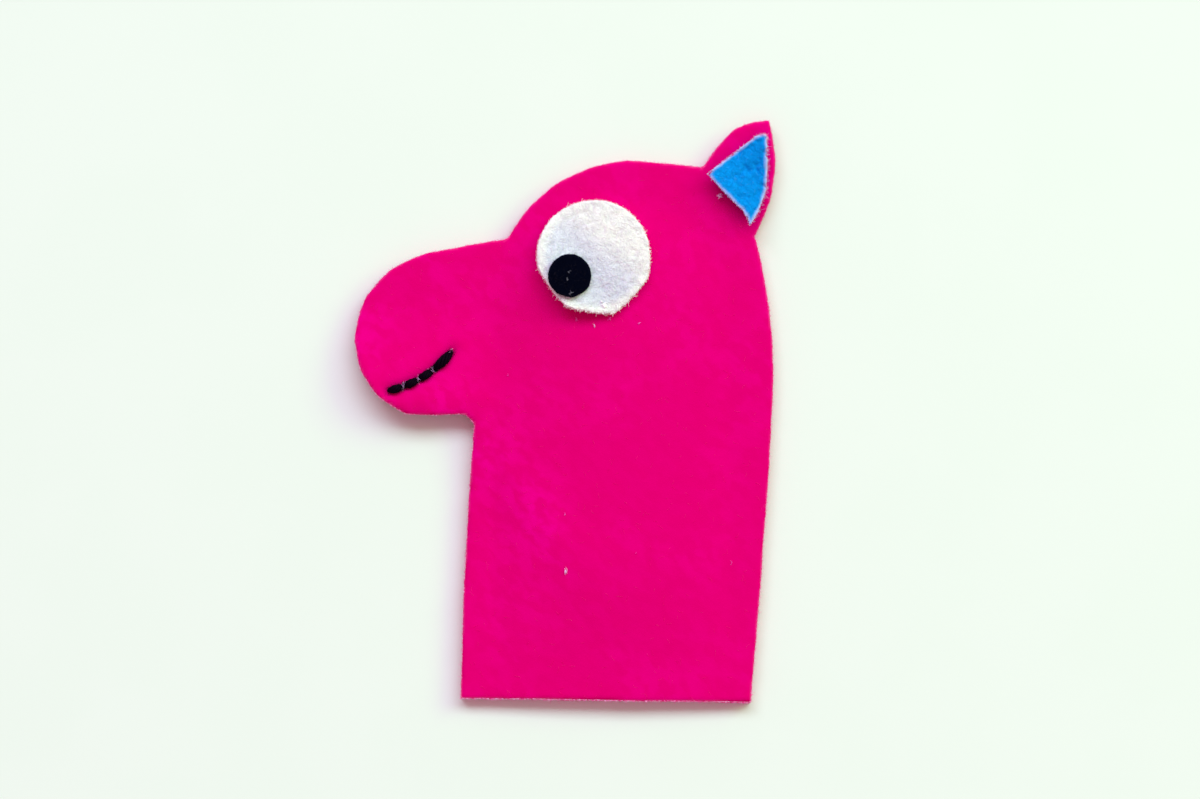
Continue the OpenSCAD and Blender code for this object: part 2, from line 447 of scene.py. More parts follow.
    def mouth(self, share: float) -> Vector:
        """A point of the smile, from its front end at 0 to its back end at 1."""
        start = self.place(self.mouth_in - self.muzzle_l, self.sleeve_l + self.mouth_up)
        chord = Vector((self.mouth_w, self.mouth_rise))
        way = chord.normalized()
        out = Vector((way.y, -way.x))
        return start + chord * share + out * self.mouth_sag * 4 * share * (1 - share)


PATTERN = Pattern()
STITCH_HOLES = (0.0, 0.21, 0.42, 0.65, 1.0)
# Depth and width of the dent at a needle hole, and of the furrow along the smile
HOLE_DENT, LINE_DENT = (0.85, 0.7), (0.58, 1.1)
# Each snip's direction from the middle, in degrees, and its share of the radius
EYE_RING = ((30, 1.0), (81, 1.0), (135, 1.0), (189, 0.995), (241, 0.985), (289, 1.04), (339, 1.01))
PUPIL_RING = tuple((40 * i + 7 * math.sin(5 * i), 1.01 + 0.015 * math.sin(4 * i)) for i in range(9))
DAB_RING = tuple((30 * i, 1 + 0.06 * math.sin(2.7 * i)) for i in range(12))


# ---------------------------------------------------------------- how it lies


@dataclass
class Drape:
    """How the two panels lie: the pocket's swell from a cloth simulation, and the felt's own lift.

    swell is how far the pocket stands up at its crest, hem_share the share of it that is left at the
    hem and hem_reach where it is whole again. muzzle_lift and ear_lift are how far the felt curls up at
    the chin and at the ear's tip, and nose_rest is the share of the chin's that is lost by the brow.
    fold_rise and fold_w are the height and half width of the ridge that starts at fold_from and runs
    along fold_way. cell and frames are the simulation's, and all lengths are in millimetres.
    """

    swell: float = 2.2
    hem_share: float = 0.3
    hem_reach: float = 26.0
    cell: float = 2.0
    frames: int = 22
    muzzle_lift: float = 2.5
    nose_rest: float = 0.85
    ear_lift: float = 0.5
    fold_rise: float = 0.4
    fold_w: float = 4.6
    fold_from: tuple[float, float] = (1.0, 44.0)
    fold_way: tuple[float, float] = (0.62, -0.785)
    tree: BVHTree | None = field(default=None, init=False)
    height: float = field(default=1.0, init=False)

    def simulate(self) -> None:
        """Blows the front sheet up gently between its glued edges and keeps the result."""
        low, high = CAD_BOX[0] / MM, CAD_BOX[1] / MM
        width, length = high.x - low.x, high.y - low.y
        across, along = round(width / self.cell), round(length / self.cell)
        bm = bmesh.new()
        bmesh.ops.create_grid(bm, x_segments=across, y_segments=along, size=0.5)
        bmesh.ops.scale(bm, vec=(width, length, 1), verts=bm.verts)
        middle = ((low.x + high.x) / 2, (low.y + high.y) / 2, 0)
        bmesh.ops.translate(bm, vec=middle, verts=bm.verts)
        sheet = object_from_bmesh("front_sheet_sim", bm)
        points = vertices_of(sheet.data)
        points[:, 2] = 0.12 * lumps(points, 9.0, 21.0)
        put_vertices(sheet.data, points)
        held = sheet.vertex_groups.new(name="glued")
        off_middle = self._off_middle(points)
        for index in np.nonzero(off_middle > 1)[0]:
            held.add([int(index)], 1.0, "REPLACE")
        self._inflate(sheet)
        smooth = sheet.modifiers.new("smooth", "SUBSURF")
        smooth.levels = smooth.render_levels = 2
        settle(sheet)
        points = vertices_of(sheet.data)
        self.height = max(float(points[:, 2].max()), 1e-6)
        faces = [tuple(p.vertices) for p in sheet.data.polygons]
        self.tree = BVHTree.FromPolygons([Vector(p) for p in points], faces)
        bpy.data.objects.remove(sheet)
        LOG.info("front sheet swelled by %.2f mm before it was scaled", self.height)

    @staticmethod
    def _off_middle(points: Points) -> Points:
        """Distance from the pocket's middle line, as a share of its half width: 1 all round its edge."""
        left, right, end = PATTERN.pocket
        near, far = PATTERN.place(left, 0), PATTERN.place(right, end)
        middle, radius = (near.x + far.x) / 2, (far.x - near.x) / 2
        return np.hypot(points[:, 0] - middle, np.maximum(points[:, 1] - far.y, 0)) / radius

    def _inflate(self, sheet: bpy.types.Object) -> None:
        """Runs the cloth on a sheet scaled to centimetres, then scales it back."""
        sheet.data.transform(Matrix.Scale(0.1, 4))
        cloth = sheet.modifiers.new("cloth", "CLOTH")
        settings = cloth.settings
        settings.quality = 8
        settings.mass = 0.3
        settings.tension_stiffness = settings.compression_stiffness = 25
        settings.shear_stiffness = 12
        settings.bending_stiffness = 6
        settings.use_pressure = True
        settings.uniform_pressure_force = 1.6
        settings.vertex_group_mass = "glued"
        settings.effector_weights.gravity = 0
        cloth.collision_settings.use_collision = False
        cloth.point_cache.frame_start, cloth.point_cache.frame_end = 1, self.frames
        for number in range(1, self.frames + 1):
            bpy.context.scene.frame_set(number)
        settle(sheet)
        bpy.context.scene.frame_set(1)
        sheet.data.transform(Matrix.Scale(10, 4))

    def rise(self, x: float, y: float) -> float:
        """How far the front panel stands off its glued level, in millimetres."""
        hit = self.tree.ray_cast(Vector((x, y, 100)), Vector((0, 0, -1)))[0]
        if hit is None:
            hit = self.tree.find_nearest(Vector((x, y, 0)))[0]
        above_hem = y - CAD_BOX[0].y / MM
        share = self.hem_share + (1 - self.hem_share) * float(smoothstep(0, self.hem_reach, above_hem))
        return max(0.0, hit.z / self.height * self.swell * share)

    def lift(self, x: Points | float, y: Points | float) -> Points | float:
        """How far both panels curl off the table: at the muzzle and the ear's tip."""
        throat = PATTERN.place(0, PATTERN.sleeve_l)
        muzzle = smoothstep(9.0, -9.0, x - throat.x) * smoothstep(-8, 3, y - throat.y)
        muzzle = muzzle * (1 - self.nose_rest * smoothstep(0, 20, y - throat.y))
        ear = smoothstep(2.0, 15.0, self.ear_out(x, y))
        return self.muzzle_lift * muzzle + self.ear_lift * ear

    @staticmethod
    def ear_out(x: Points | float, y: Points | float) -> Points | float:
        """Distance beyond the ear's root line, in millimetres."""
        root, out = ear_frame()
        return (x - root.x) * out.x + (y - root.y) * out.y

    def fold_share(self, x: Points | float, y: Points | float) -> Points | float:
        """The soft ridge that runs from the throat down across the sleeve: 1 on its crest."""
        start, (way_x, way_y) = PATTERN.place(*self.fold_from), self.fold_way
        along = (x - start.x) * way_x + (y - start.y) * way_y
        across = (x - start.x) * way_y - (y - start.y) * way_x
        wide = np.exp(-((across / self.fold_w) ** 2))
        return wide * smoothstep(-6, 4, along) * smoothstep(44, 16, along)

    def painted_highlight(self, points: Points) -> Points:
        """Painted highlight on the front where it faces the light: on the ridge, the cheek and the chin."""
        x, y = points[:, 0], points[:, 1]
        throat = PATTERN.place(0, PATTERN.sleeve_l)
        out, up = throat.x - x, y - throat.y
        chin = smoothstep(-6, 8, out) * smoothstep(17, 3, up) * smoothstep(-4, 1, up)
        muzzle = 0.5 * smoothstep(-3, 10, out) * smoothstep(8, 16, up)
        return np.clip(0.9 * self.fold_share(x, y) + 0.85 * chin + muzzle, 0, 1)

    def front(self, x: float, y: float) -> float:
        """Height of the front panel's top over the table, without its small lumps."""
        base = 2 * PATTERN.felt_t + PATTERN.glue_t
        fold = self.fold_rise * self.fold_share(x, y)
        return base + self.rise(x, y) + float(self.lift(x, y)) + float(fold)


def ear_frame() -> tuple[Vector, Vector]:
    """The middle of the ear's root line and the way out of it, in the frame."""
    back, front = PATTERN.place(*PATTERN.ear_back), PATTERN.place(*PATTERN.ear_front)
    way = (back - front).normalized()
    return (back + front) / 2, Vector((-way.y, way.x))


# ---------------------------------------------------------------- shader maths


@dataclass
class Signal:
    """A number in a material: arithmetic on it adds Math nodes."""

    paint: "Paint"
    socket: Any

    def _with(self, operation: str, other: "Signal | float", swap: bool = False) -> "Signal":
        """Adds one Math node."""
        pair = (other, self) if swap else (self, other)
        return self.paint.signal("ShaderNodeMath", {"operation": operation}, dict(enumerate(pair)))

    def __add__(self, other: "Signal | float") -> "Signal":
        """self + other."""
        return self._with("ADD", other)

    __radd__ = __add__

    def __sub__(self, other: "Signal | float") -> "Signal":
        """self - other."""
        return self._with("SUBTRACT", other)

    def __rsub__(self, other: float) -> "Signal":
        """other - self."""
        return self._with("SUBTRACT", other, swap=True)

    def __mul__(self, other: "Signal | float") -> "Signal":
        """self * other."""
        return self._with("MULTIPLY", other)

    __rmul__ = __mul__

    def __pow__(self, other: float) -> "Signal":
        """self to a power."""
        return self._with("POWER", other)

    def __abs__(self) -> "Signal":
        """The size of self."""
        return self._with("ABSOLUTE", 0.0)

    def larger(self, other: "Signal | float") -> "Signal":
        """The larger of two."""
        return self._with("MAXIMUM", other)

    def between(self, low: float, high: float) -> "Signal":
        """0 at low, 1 at high and a smooth rise between."""
        settings = {"interpolation_type": "SMOOTHSTEP"}
        values = {"Value": self, "From Min": low, "From Max": high}
        return self.paint.signal("ShaderNodeMapRange", settings, values)


class Paint:
    """A material being mixed, with one Principled shader."""

    def __init__(self, name: str) -> None:
        """Starts an empty material.

        Args:
            name: The material's name.
        """
        self.material = bpy.data.materials.new(name)
        self.material.use_nodes = True
        self.tree = self.material.node_tree
        self.tree.nodes.clear()
        self.shader = self.node("ShaderNodeBsdfPrincipled")
        self.node("ShaderNodeOutputMaterial", {}, {"Surface": self.shader.outputs["BSDF"]})
        texture = self.node("ShaderNodeTexCoord")
        self.place = self.vector("SCALE", {0: texture.outputs["Object"], "Scale": 1 / MM})

    def plug(self, socket: bpy.types.NodeSocket, value: Any) -> None:
        """Links a signal or an output to an input, or sets the input's own value."""
        source = value.socket if isinstance(value, Signal) else value
        if isinstance(source, bpy.types.NodeSocket):
            self.tree.links.new(source, socket)
        else:
            socket.default_value = source

    def node(self, kind: str, settings: dict | None = None, values: dict | None = None) -> bpy.types.Node:
        """Adds a node.

        Args:
            kind: The node's type.
            settings: Its properties, which are set first.
            values: A value, an output or a signal for each input, by name or number.

        Returns:
            The node.
        """
        made = self.tree.nodes.new(kind)
        for key, value in (settings or {}).items():
            setattr(made, key, value)
        for key, value in (values or {}).items():
            self.plug(made.inputs[key], value)
        return made

    def signal(self, kind: str, settings: dict, values: dict, output: int | str = 0) -> Signal:
        """Adds a node and takes one of its outputs as a number."""
        return Signal(self, self.node(kind, settings, values).outputs[output])

    def vector(self, operation: str, values: dict) -> Any:
        """A vector from one Vector Math node."""
        return self.node("ShaderNodeVectorMath", {"operation": operation}, values).outputs["Vector"]

    def lumps(self, size: float, detail: float = 2.0, place: Any = None) -> Signal:
        """Noise with lumps of a size in millimetres."""
        values = {"Vector": place or self.place, "Scale": 1 / size, "Detail": detail}
        return self.signal("ShaderNodeTexNoise", {"noise_dimensions": "3D"}, values, "Fac")

    def attribute(self, name: str) -> Signal:
        """A number stored on the mesh."""
        settings = {"attribute_type": "GEOMETRY", "attribute_name": name}
        return self.signal("ShaderNodeAttribute", settings, {}, "Fac")

    def mix(self, share: Signal | float, first: Any, second: Any) -> Any:
        """Mixes two colours. Inputs 6 and 7 and output 2 are the node's colour sockets."""
        values = {0: share, 6: first, 7: second}
        return self.node("ShaderNodeMix", {"data_type": "RGBA"}, values).outputs[2]

    def finish(self, **values: Any) -> bpy.types.Material:
        """Sets the shader's sockets, with _ for a space in each name."""
        for key, value in values.items():
            self.plug(self.shader.inputs[key.replace("_", " ")], value)
        return self.material

    def bump(self, height: Signal, strength: float, distance: float) -> Any:
        """A normal from a height signal."""
        values = {"Height": height, "Strength": strength, "Distance": distance}
        return self.node("ShaderNodeBump", {}, values).outputs["Normal"]


STRAND_WAYS = ((-0.8, 2.2, 0.26), (0.3, 1.7, 0.22), (1.3, 1.9, 0.24), (2.4, 1.4, 0.2))
CREASE_WAYS = ((-0.6, 2.0, 0.6), (0.9, 1.6, 0.5))


@dataclass(frozen=True)
class FeltFinish:
    """Pressed felt: matted fibres over soft blotches, with painted shade in its creases and pits, paler where
    it is cut.
    """

    slot: Slot
    base: Colour
    shade: Colour
    glow: Colour
    cut: Colour
    rubbed: Colour
    sheen: Colour
    sheen_weight: float = 0.1
    blotch: float = 0.5
    blotch_size: float = 2.4
    crease: float = 0.2
    crease_size: float = 2.4
    strands: float = 0.3
    crease_tint_share: float = 0.0
    cut_share: float = 0.6
    bump: float = 0.45

    def _grain(self, paint: Paint, angle: float, length: float, width: float, place: Any) -> Signal:
        """Noise drawn out along one direction of the cloth."""
        values = {"Vector": place, "Rotation": (0, 0, angle), "Scale": (length, width, 2 * width)}
        turned = paint.node("ShaderNodeMapping", {"vector_type": "TEXTURE"}, values).outputs["Vector"]
        return paint.lumps(1.0, 1.5, turned)

    def _matted(self, paint: Paint, place: Any, ways: Sequence[tuple], size: float, sharp: float) -> Signal:
        """Fibres or creases that lie over each other.

        Args:
            paint: The material.
            place: Where to read the pattern.
            ways: The direction, length and width of each layer.
            size: Scales the lengths and widths.
            sharp: How thin a fibre or a crease is for its layer's width.

        Returns:
            1 along a fibre's middle and 0 between fibres.
        """
        result = None
        for angle, length, width in ways:
            grain = self._grain(paint, angle, length * size, width * size, place)
            layer = (1 - abs(grain * 2 - 1)) ** sharp
            result = layer if result is None else result.larger(layer)
        return result

    def _warped(self, paint: Paint, size: float, reach: float) -> Any:
        """The place, pushed about so that no fibre runs straight."""
        values = {"Vector": paint.place, "Scale": 1 / size, "Detail": 2.0}
        cloud = paint.node("ShaderNodeTexNoise", {}, values).outputs["Color"]
        centred = paint.vector("SUBTRACT", {0: cloud, 1: (0.5, 0.5, 0.5)})
        return paint.vector("ADD", {0: paint.place, 1: paint.vector("SCALE", {0: centred, "Scale": reach})})

    def material(self) -> bpy.types.Material:
        """Mixes the material.

        Returns:
            The felt, with its fibres in the colour and in the bump.
        """
        paint = Paint(self.slot.value)
        warped = self._warped(paint, size=1.6, reach=1.5)
        strands = self._matted(paint, warped, STRAND_WAYS, size=1.0, sharp=6.0)
        creases = self._matted(paint, warped, CREASE_WAYS, self.crease_size, sharp=4.0)
        creases = creases.between(0.3, 1.0).larger(paint.attribute("creased"))
        fine = paint.lumps(0.28, 3.0)
        size = self.blotch_size
        blotch = self._grain(paint, -0.75, 1.35 * size, 0.85 * size, warped).between(0.38, 0.64)
        broad = paint.lumps(5.5 * size, 2.0).between(0.35, 0.65)
        pits = 1 - paint.lumps(0.55, 2.0, warped).between(0.28, 0.46)
        # Painted highlight: the pink turns to its rubbed colour on the fold, cheek and chin that face the
        # light; the white turns greyer and bluer over its middle and towards the chin.
        colour = paint.mix(paint.attribute("rubbed"), self.base, self.rubbed)
        colour = paint.mix(blotch * self.blotch, colour, self.shade)
        colour = paint.mix(broad * (0.9 * self.blotch), colour, self.shade)
        # Painted shade: creases and pits, which the bump also sinks, darken to the shade colour;
        # crease_tint_share ties this shade to rubbed.
        wear_and_crease_shade = self.crease * (1 - self.crease_tint_share + self.crease_tint_share * paint.attribute("rubbed"))
        colour = paint.mix(creases * wear_and_crease_shade, colour, self.shade)
        colour = paint.mix(pits * 0.5 * wear_and_crease_shade, colour, self.shade)
        colour = paint.mix(strands * self.strands, colour, self.glow)
        # Paler cut edge: partly the edge's own paler fibres, partly painted light from the cut level, pale on
        # its lit top and with painted shade at its foot.
        colour = paint.mix(paint.attribute("cut") * self.cut_share, colour, self.cut)
        height = strands * 0.5 + fine * 0.25 + blotch * 0.2 - pits * 0.3 - creases * 0.3
        return paint.finish(
            Base_Color=colour,
            Roughness=0.95,
            Specular_IOR_Level=0.0,
            Sheen_Weight=self.sheen_weight,
            Sheen_Roughness=0.55,
            Sheen_Tint=self.sheen,
            Normal=paint.bump(height, self.bump, 0.16 * MM),
        )


@dataclass(frozen=True)
class FlossFinish:
    """Stranded cotton: twisted threads with a soft shine."""

    slot: Slot = Slot.FLOSS
    base: Colour = (0.002, 0.0003, 0.0035, 1)
    glow: Colour = (0.015, 0.003, 0.02, 1)

    def material(self) -> bpy.types.Material:
        """Mixes the floss, with fine threads along its plies."""
        paint = Paint(self.slot.value)
        threads = paint.lumps(0.09, 2.0)
        cloud = paint.lumps(0.8, 2.0)
        colour = paint.mix(threads.between(0.45, 0.8) * cloud, self.base, self.glow)
        return paint.finish(
            Base_Color=colour,
            Roughness=0.7 - 0.15 * threads,
            Specular_IOR_Level=0.03,
            Normal=paint.bump(threads, 0.5, 0.05 * MM),
        )


@dataclass(frozen=True)
class StrandFinish:
    """Loose fibres that stand out of a cut edge."""

    name: str
    slot: Slot
    base: Colour
    tip: Colour

    def material(self) -> bpy.types.Material:
        """Mixes the fibre, which varies from one strand to the next."""
        paint = Paint(self.name)
        share = paint.lumps(0.5, 2.0).between(0.35, 0.65)
        return paint.finish(
            Base_Color=paint.mix(share, self.base, self.tip),
            Roughness=0.85,
            Specular_IOR_Level=0.05,
            Normal=paint.bump(paint.lumps(0.1), 0.2, 0.02 * MM),
        )


@dataclass(frozen=True)
class GlueFinish:
    """Dried fabric glue: a dull clear skin that has gone milky."""

    name: str = "dried_glue"
    slot: Slot = Slot.GLUE
    base: Colour = (0.78, 0.76, 0.68, 1)
    milky: Colour = (0.86, 0.84, 0.8, 1)

    def material(self) -> bpy.types.Material:
        """Mixes the glue, with bubbles and milky patches."""
        paint = Paint(self.name)
        patches = paint.lumps(3.0, 3.0).between(0.4, 0.6)
        values = {"Vector": paint.place, "Scale": 1.6}
        bubbles = paint.signal("ShaderNodeTexVoronoi", {}, values, "Distance")
        return paint.finish(
            Base_Color=paint.mix(patches, self.base, self.milky),
            Roughness=0.3 + 0.25 * patches,
            Specular_IOR_Level=0.5,
            Normal=paint.bump(bubbles, 0.3, 0.05 * MM),
        )


PINK = FeltFinish(
    Slot.PINK,
    base=(0.735, 0.0, 0.19, 1),
    shade=(0.68, 0.0, 0.143, 1),
    glow=(0.77, 0.0, 0.21, 1),
    cut=(0.9, 0.1, 0.38, 1),
    # rubbed: the painted highlight colour where the front faces the light
    rubbed=(0.8, 0.0, 0.258, 1),
    sheen=(1.0, 0.02, 0.3, 1),
    sheen_weight=0.06,
    blotch=0.8,
    crease=0.14,
    crease_size=1.6,
    strands=0.14,
    bump=0.18,
)
WHITE = FeltFinish(
    Slot.WHITE,
    base=(1.0, 0.985, 0.9, 1),
    shade=(0.42, 0.46, 0.6, 1),
    glow=(1.0, 1.0, 0.98, 1),
    # cut: pinkish, a painted reflection of the pink felt on the white's cut edge
    cut=(1.0, 0.9, 0.96, 1),
    # rubbed: the greyer, bluer tint over the eye's middle and towards the chin
    rubbed=(0.6, 0.63, 0.83, 1),
    sheen=(1.0, 1.0, 1.0, 1),
    sheen_weight=0.04,
    blotch=0.16,
    blotch_size=1.2,
    crease=0.6,
    crease_size=0.8,
    crease_tint_share=0.6,
    strands=0.5,
    cut_share=0.6,
    bump=0.9,
)
BLACK = FeltFinish(
    Slot.BLACK,
    base=(0.0004, 0.0005, 0.0042, 1),
    shade=(0.0002, 0.0003, 0.002, 1),
    glow=(0.0025, 0.0035, 0.011, 1),
    cut=(0.006, 0.006, 0.016, 1),
    rubbed=(0.001, 0.001, 0.006, 1),
    sheen=(0.2, 0.25, 0.4, 1),
    sheen_weight=0.0,
    strands=0.5,
)
BLUE = FeltFinish(
    Slot.BLUE,
    base=(0.003, 0.25, 0.77, 1),
    shade=(0.0, 0.12, 0.42, 1),
    glow=(0.004, 0.36, 0.98, 1),
    cut=(0.55, 0.6, 0.97, 1),
    rubbed=(0.0, 0.3, 0.86, 1),
    sheen=(0.1, 0.5, 1.0, 1),
    sheen_weight=0.0,
    blotch=0.3,
    blotch_size=1.4,
    crease=0.8,
    crease_size=1.3,
    strands=0.6,
    cut_share=0.95,
    bump=0.7,
)
PINK_STRAND = StrandFinish("pink_fibre", Slot.PINK, (0.88, 0.0, 0.2, 1), (0.92, 0.03, 0.28, 1))
EDGE_STRAND = StrandFinish("pale_pink_fibre", Slot.PINK, (0.93, 0.1, 0.45, 1), (0.97, 0.5, 0.8, 1))
# The pinkish tip is a painted reflection of the pink felt around the eye.
WHITE_STRAND = StrandFinish("white_fibre", Slot.WHITE, (0.98, 0.97, 0.97, 1), (0.98, 0.9, 0.96, 1))
BLACK_STRAND = StrandFinish("black_fibre", Slot.BLACK, (0.002, 0.001, 0.005, 1), (0.012, 0.01, 0.02, 1))
BLUE_STRAND = StrandFinish("blue_fibre", Slot.BLUE, (0.0, 0.3, 0.85, 1), (0.06, 0.42, 0.9, 1))
LILAC_STRAND = StrandFinish("lilac_fibre", Slot.BLUE, (0.5, 0.55, 0.97, 1), (0.85, 0.76, 0.97, 1))
CAUGHT_STRAND = StrandFinish("caught_fibre", Slot.PINK, (0.55, 0.22, 0.55, 1), (0.8, 0.55, 0.85, 1))
GREY_STRAND = StrandFinish("grey_fibre", Slot.BLACK, (0.05, 0.05, 0.07, 1), (0.2, 0.2, 0.26, 1))
LINT_STRAND = StrandFinish("pale_lint", Slot.WHITE, (0.8, 0.38, 0.8, 1), (0.88, 0.66, 0.97, 1))
SPECK_STRAND = StrandFinish("pink_lint", Slot.PINK, (0.9, 0.04, 0.5, 1), (0.9, 0.2, 0.75, 1))


Finish = FeltFinish | FlossFinish | StrandFinish | GlueFinish


def dress(obj: bpy.types.Object, finish: Finish) -> bpy.types.Object:
    """Gives a piece its finish's material."""
    obj.data.materials.clear()
    obj.data.materials.append(finish.material())
    return obj


# ---------------------------------------------------------------- pieces of felt


def raised(level: Level, by: float) -> Level:
    """A surface's height plus a constant, in millimetres."""
    return lambda x, y: level(x, y) + by


@dataclass
class FeltPiece:
    """A piece cut from felt: a slab of an outline with soft cut edges, laid over what is below it.

    below gives the height of the piece's underside at a place, and dents what is pressed into its top.
    relief and fray are the height of the lumps on its skin and on its cut edge. frayed is how far in
    the edge is pale, and unshaded_foot the share of that paleness at its foot, where less paints shade.
    crease is the depth of its creases and crease_w how far apart they are; they run along crease_turn,
    crease_stretch times as long as they are wide. Lengths are in millimetres.
    """

    name: str
    outline: Points
    thickness: float
    below: Level
    voxel: float = 0.45
    relief: float = 0.06
    fray: float = 0.09
    seed: float = 1.0
    frayed: float = 0.34
    unshaded_foot: float = 0.6
    crease: float = 0.0
    crease_w: float = 0.8
    crease_turn: float = -0.7
    crease_wander: float = 0.5
    crease_stretch: float = 2.4
    dents: Callable[[Points], Points] | None = None
    rubbed: Callable[[Points], Points] | None = None

    def build(self) -> bpy.types.Object:
        """Models the piece in the frame's place.

        Returns:
            The finished mesh object, in metres, with its cut edge marked.
        """
        obj = self._slab()
        points = vertices_of(obj.data)
        share = np.clip(points[:, 2] / self.thickness, 0, 1)
        self._mark(obj, points)
        heights = np.array([self.below(x, y) for x, y in points[:, :2]])
        lumpy = self._lumps(points)
        points[:, 2] += heights
        if self.dents is not None:
            points[:, 2] -= self.dents(points) * share
        put_vertices(obj.data, points)
        points += normals_of(obj.data) * lumpy[:, None]
        put_vertices(obj.data, points)
        return to_metres(obj)

    def _slab(self) -> bpy.types.Object:
        """The outline, extruded and remeshed into even quads with soft edges."""
        bm = bmesh.new()
        face = bm.faces.new([bm.verts.new((x, y, 0)) for x, y in self.outline])
        grown = bmesh.ops.extrude_face_region(bm, geom=[face])["geom"]
        top = [g for g in grown if isinstance(g, bmesh.types.BMVert)]
        bmesh.ops.translate(bm, verts=top, vec=(0, 0, self.thickness))
        bmesh.ops.recalc_face_normals(bm, faces=bm.faces)
        obj = object_from_bmesh(self.name, bm)
        remesh = obj.modifiers.new("even", "REMESH")
        remesh.mode = "VOXEL"
        remesh.voxel_size = self.voxel
        settle(obj)
        bm = bmesh.new()
        bm.from_mesh(obj.data)
        bmesh.ops.smooth_vert(bm, verts=bm.verts, factor=0.5, use_axis_x=True, use_axis_y=True)
        bm.to_mesh(obj.data)
        bm.free()
        return obj

    def _mark(self, obj: bpy.types.Object, points: Points) -> None:
        """Stores how close each point is to the cut edge, with painted shade at the edge's foot, and its
        rubbed level, for the felt's colour.
        """
        nearest = edge_distance(points, self.outline)
        reach = self.frayed * (1 + 0.45 * lumps(points, 0.9, self.seed + 11))
        # Painted light on the cut edge: its lit top stays pale and unshaded_foot sets how much painted shade
        # its foot gets.
        lit_top = smoothstep(0.25, 0.75, points[:, 2] / self.thickness)
        depth = self.unshaded_foot + (1 - self.unshaded_foot) * lit_top
        levels = {"cut": (1 - np.clip(nearest / reach, 0, 1)) * depth}
        levels["rubbed"] = np.zeros(len(points)) if self.rubbed is None else self.rubbed(points)
        levels["creased"] = self._creases(points) if self.crease > 0 else np.zeros(len(points))
        for name, values in levels.items():
            attribute = obj.data.attributes.new(name, "FLOAT", "POINT")
            attribute.data.foreach_set("value", values.astype(np.float32))

    def _creases(self, points: Points) -> Points:
        """Short creases in the felt's skin that wander mostly one way: 1 along the bottom of each."""
        flat = points[:, :2] - self.outline.mean(axis=0)
        turn = self.crease_turn + self.crease_wander * lumps(points, 3.0, self.seed + 31)
        along = flat[:, 0] * np.cos(turn) + flat[:, 1] * np.sin(turn)
        across = flat[:, 1] * np.cos(turn) - flat[:, 0] * np.sin(turn)
        drawn = np.stack([along / self.crease_stretch, across, across * 0], axis=1)
        ridges = 1 - np.abs(2.2 * lumps(drawn, self.crease_w, self.seed + 33))
        kept = smoothstep(-0.25, 0.2, lumps(points, 1.7, self.seed + 37))
        return np.clip(ridges, 0, 1) ** 2.5 * kept

    def _lumps(self, points: Points) -> Points:
        """The felt's small lumps, with more of them on the cut edge, less its creases."""
        near = 1 - smoothstep(0.2, 0.9, edge_distance(points, self.outline))
        soft = 0.6 * lumps(points, 2.4, self.seed) + 0.4 * lumps(points, 1.0, self.seed + 5)
        rough = self.relief * soft + self.fray * near * lumps(points, 0.75, self.seed + 7)
        return rough - self.crease * self._creases(points) if self.crease > 0 else rough


@dataclass
class GlueLayer:
    """A thin layer of dried glue: an outline cut into a fine grid, so that it can follow the felt."""

    name: str
    outline: Points
    below: Level
    thickness: float = 0.2
    cell: float = 1.5

    def build(self) -> bpy.types.Object:
        """Models the layer in the frame's place."""
        bm = bmesh.new()
        bm.faces.new([bm.verts.new((x, y, 0)) for x, y in self.outline])
        low, high = self.outline.min(axis=0), self.outline.max(axis=0)
        for axis, normal in enumerate(((1, 0, 0), (0, 1, 0))):
            for level in np.arange(low[axis] + self.cell / 2, high[axis], self.cell):
                geometry = bm.verts[:] + bm.edges[:] + bm.faces[:]
                point = Vector(normal) * float(level)
                bmesh.ops.bisect_plane(bm, geom=geometry, plane_co=point, plane_no=normal, dist=1e-4)
        grown = bmesh.ops.extrude_face_region(bm, geom=bm.faces[:])["geom"]
        top = [g for g in grown if isinstance(g, bmesh.types.BMVert)]
        bmesh.ops.translate(bm, verts=top, vec=(0, 0, self.thickness))
        bmesh.ops.recalc_face_normals(bm, faces=bm.faces)
        for vert in bm.verts:
            vert.co.z += self.below(vert.co.x, vert.co.y)
        return to_metres(object_from_bmesh(self.name, bm))


# ---------------------------------------------------------------- loose fibres


Strand = tuple[list[Vector], float]


def tubes(
    name: str, strands: Iterable[Strand], bevel: float, rounds: int, taper: Callable[[float], float]
) -> bpy.types.Object:
    """Tubes along lines of points, as one mesh.

    Args:
        name: The mesh object's name.
        strands: Each line's points, in millimetres, and its thickness.
        bevel: Radius of a tube of thickness 1.
        rounds: How finely each tube is rounded.
        taper: Share of the thickness that is left at each share of the line's length.

    Returns:
        The mesh object, in metres.
    """
    curve = bpy.data.curves.new(name, "CURVE")
    curve.dimensions = "3D"
    curve.bevel_depth = bevel
    curve.bevel_resolution = rounds
    curve.use_fill_caps = True
    for points, thickness in strands:
        spline, last = curve.splines.new("POLY"), len(points) - 1
        spline.points.add(last)
        spline.points.foreach_set("co", [c for p in points for c in (*p, 1.0)])
        spline.points.foreach_set("radius", [thickness * taper(i / last) for i in range(last + 1)])
    obj = object_from(name + "_curve", curve)
    bpy.context.view_layer.update()
    mesh = bpy.data.meshes.new_from_object(obj.evaluated_get(bpy.context.evaluated_depsgraph_get()))
    bpy.data.objects.remove(obj)
    bpy.data.curves.remove(curve)
    mesh.name = name
    return to_metres(object_from(name, mesh))


@dataclass
class Fibres:
    """A batch of loose fibres, each a short tapering tube."""

    name: str
    finish: StrandFinish
    strands: list[Strand] = field(default_factory=list)

    def add(self, points: list[Vector], thickness: float) -> None:
        """Adds one fibre along points, in millimetres, kept above the table."""
        self.strands.append(([Vector((p.x, p.y, max(p.z, thickness))) for p in points], thickness))

    def build(self) -> bpy.types.Object:
        """Turns the fibres into one mesh, dressed in their finish."""
        made = tubes(self.name, self.strands, bevel=0.5, rounds=0, taper=lambda t: 1 - 0.5 * t)
        return dress(made, self.finish)


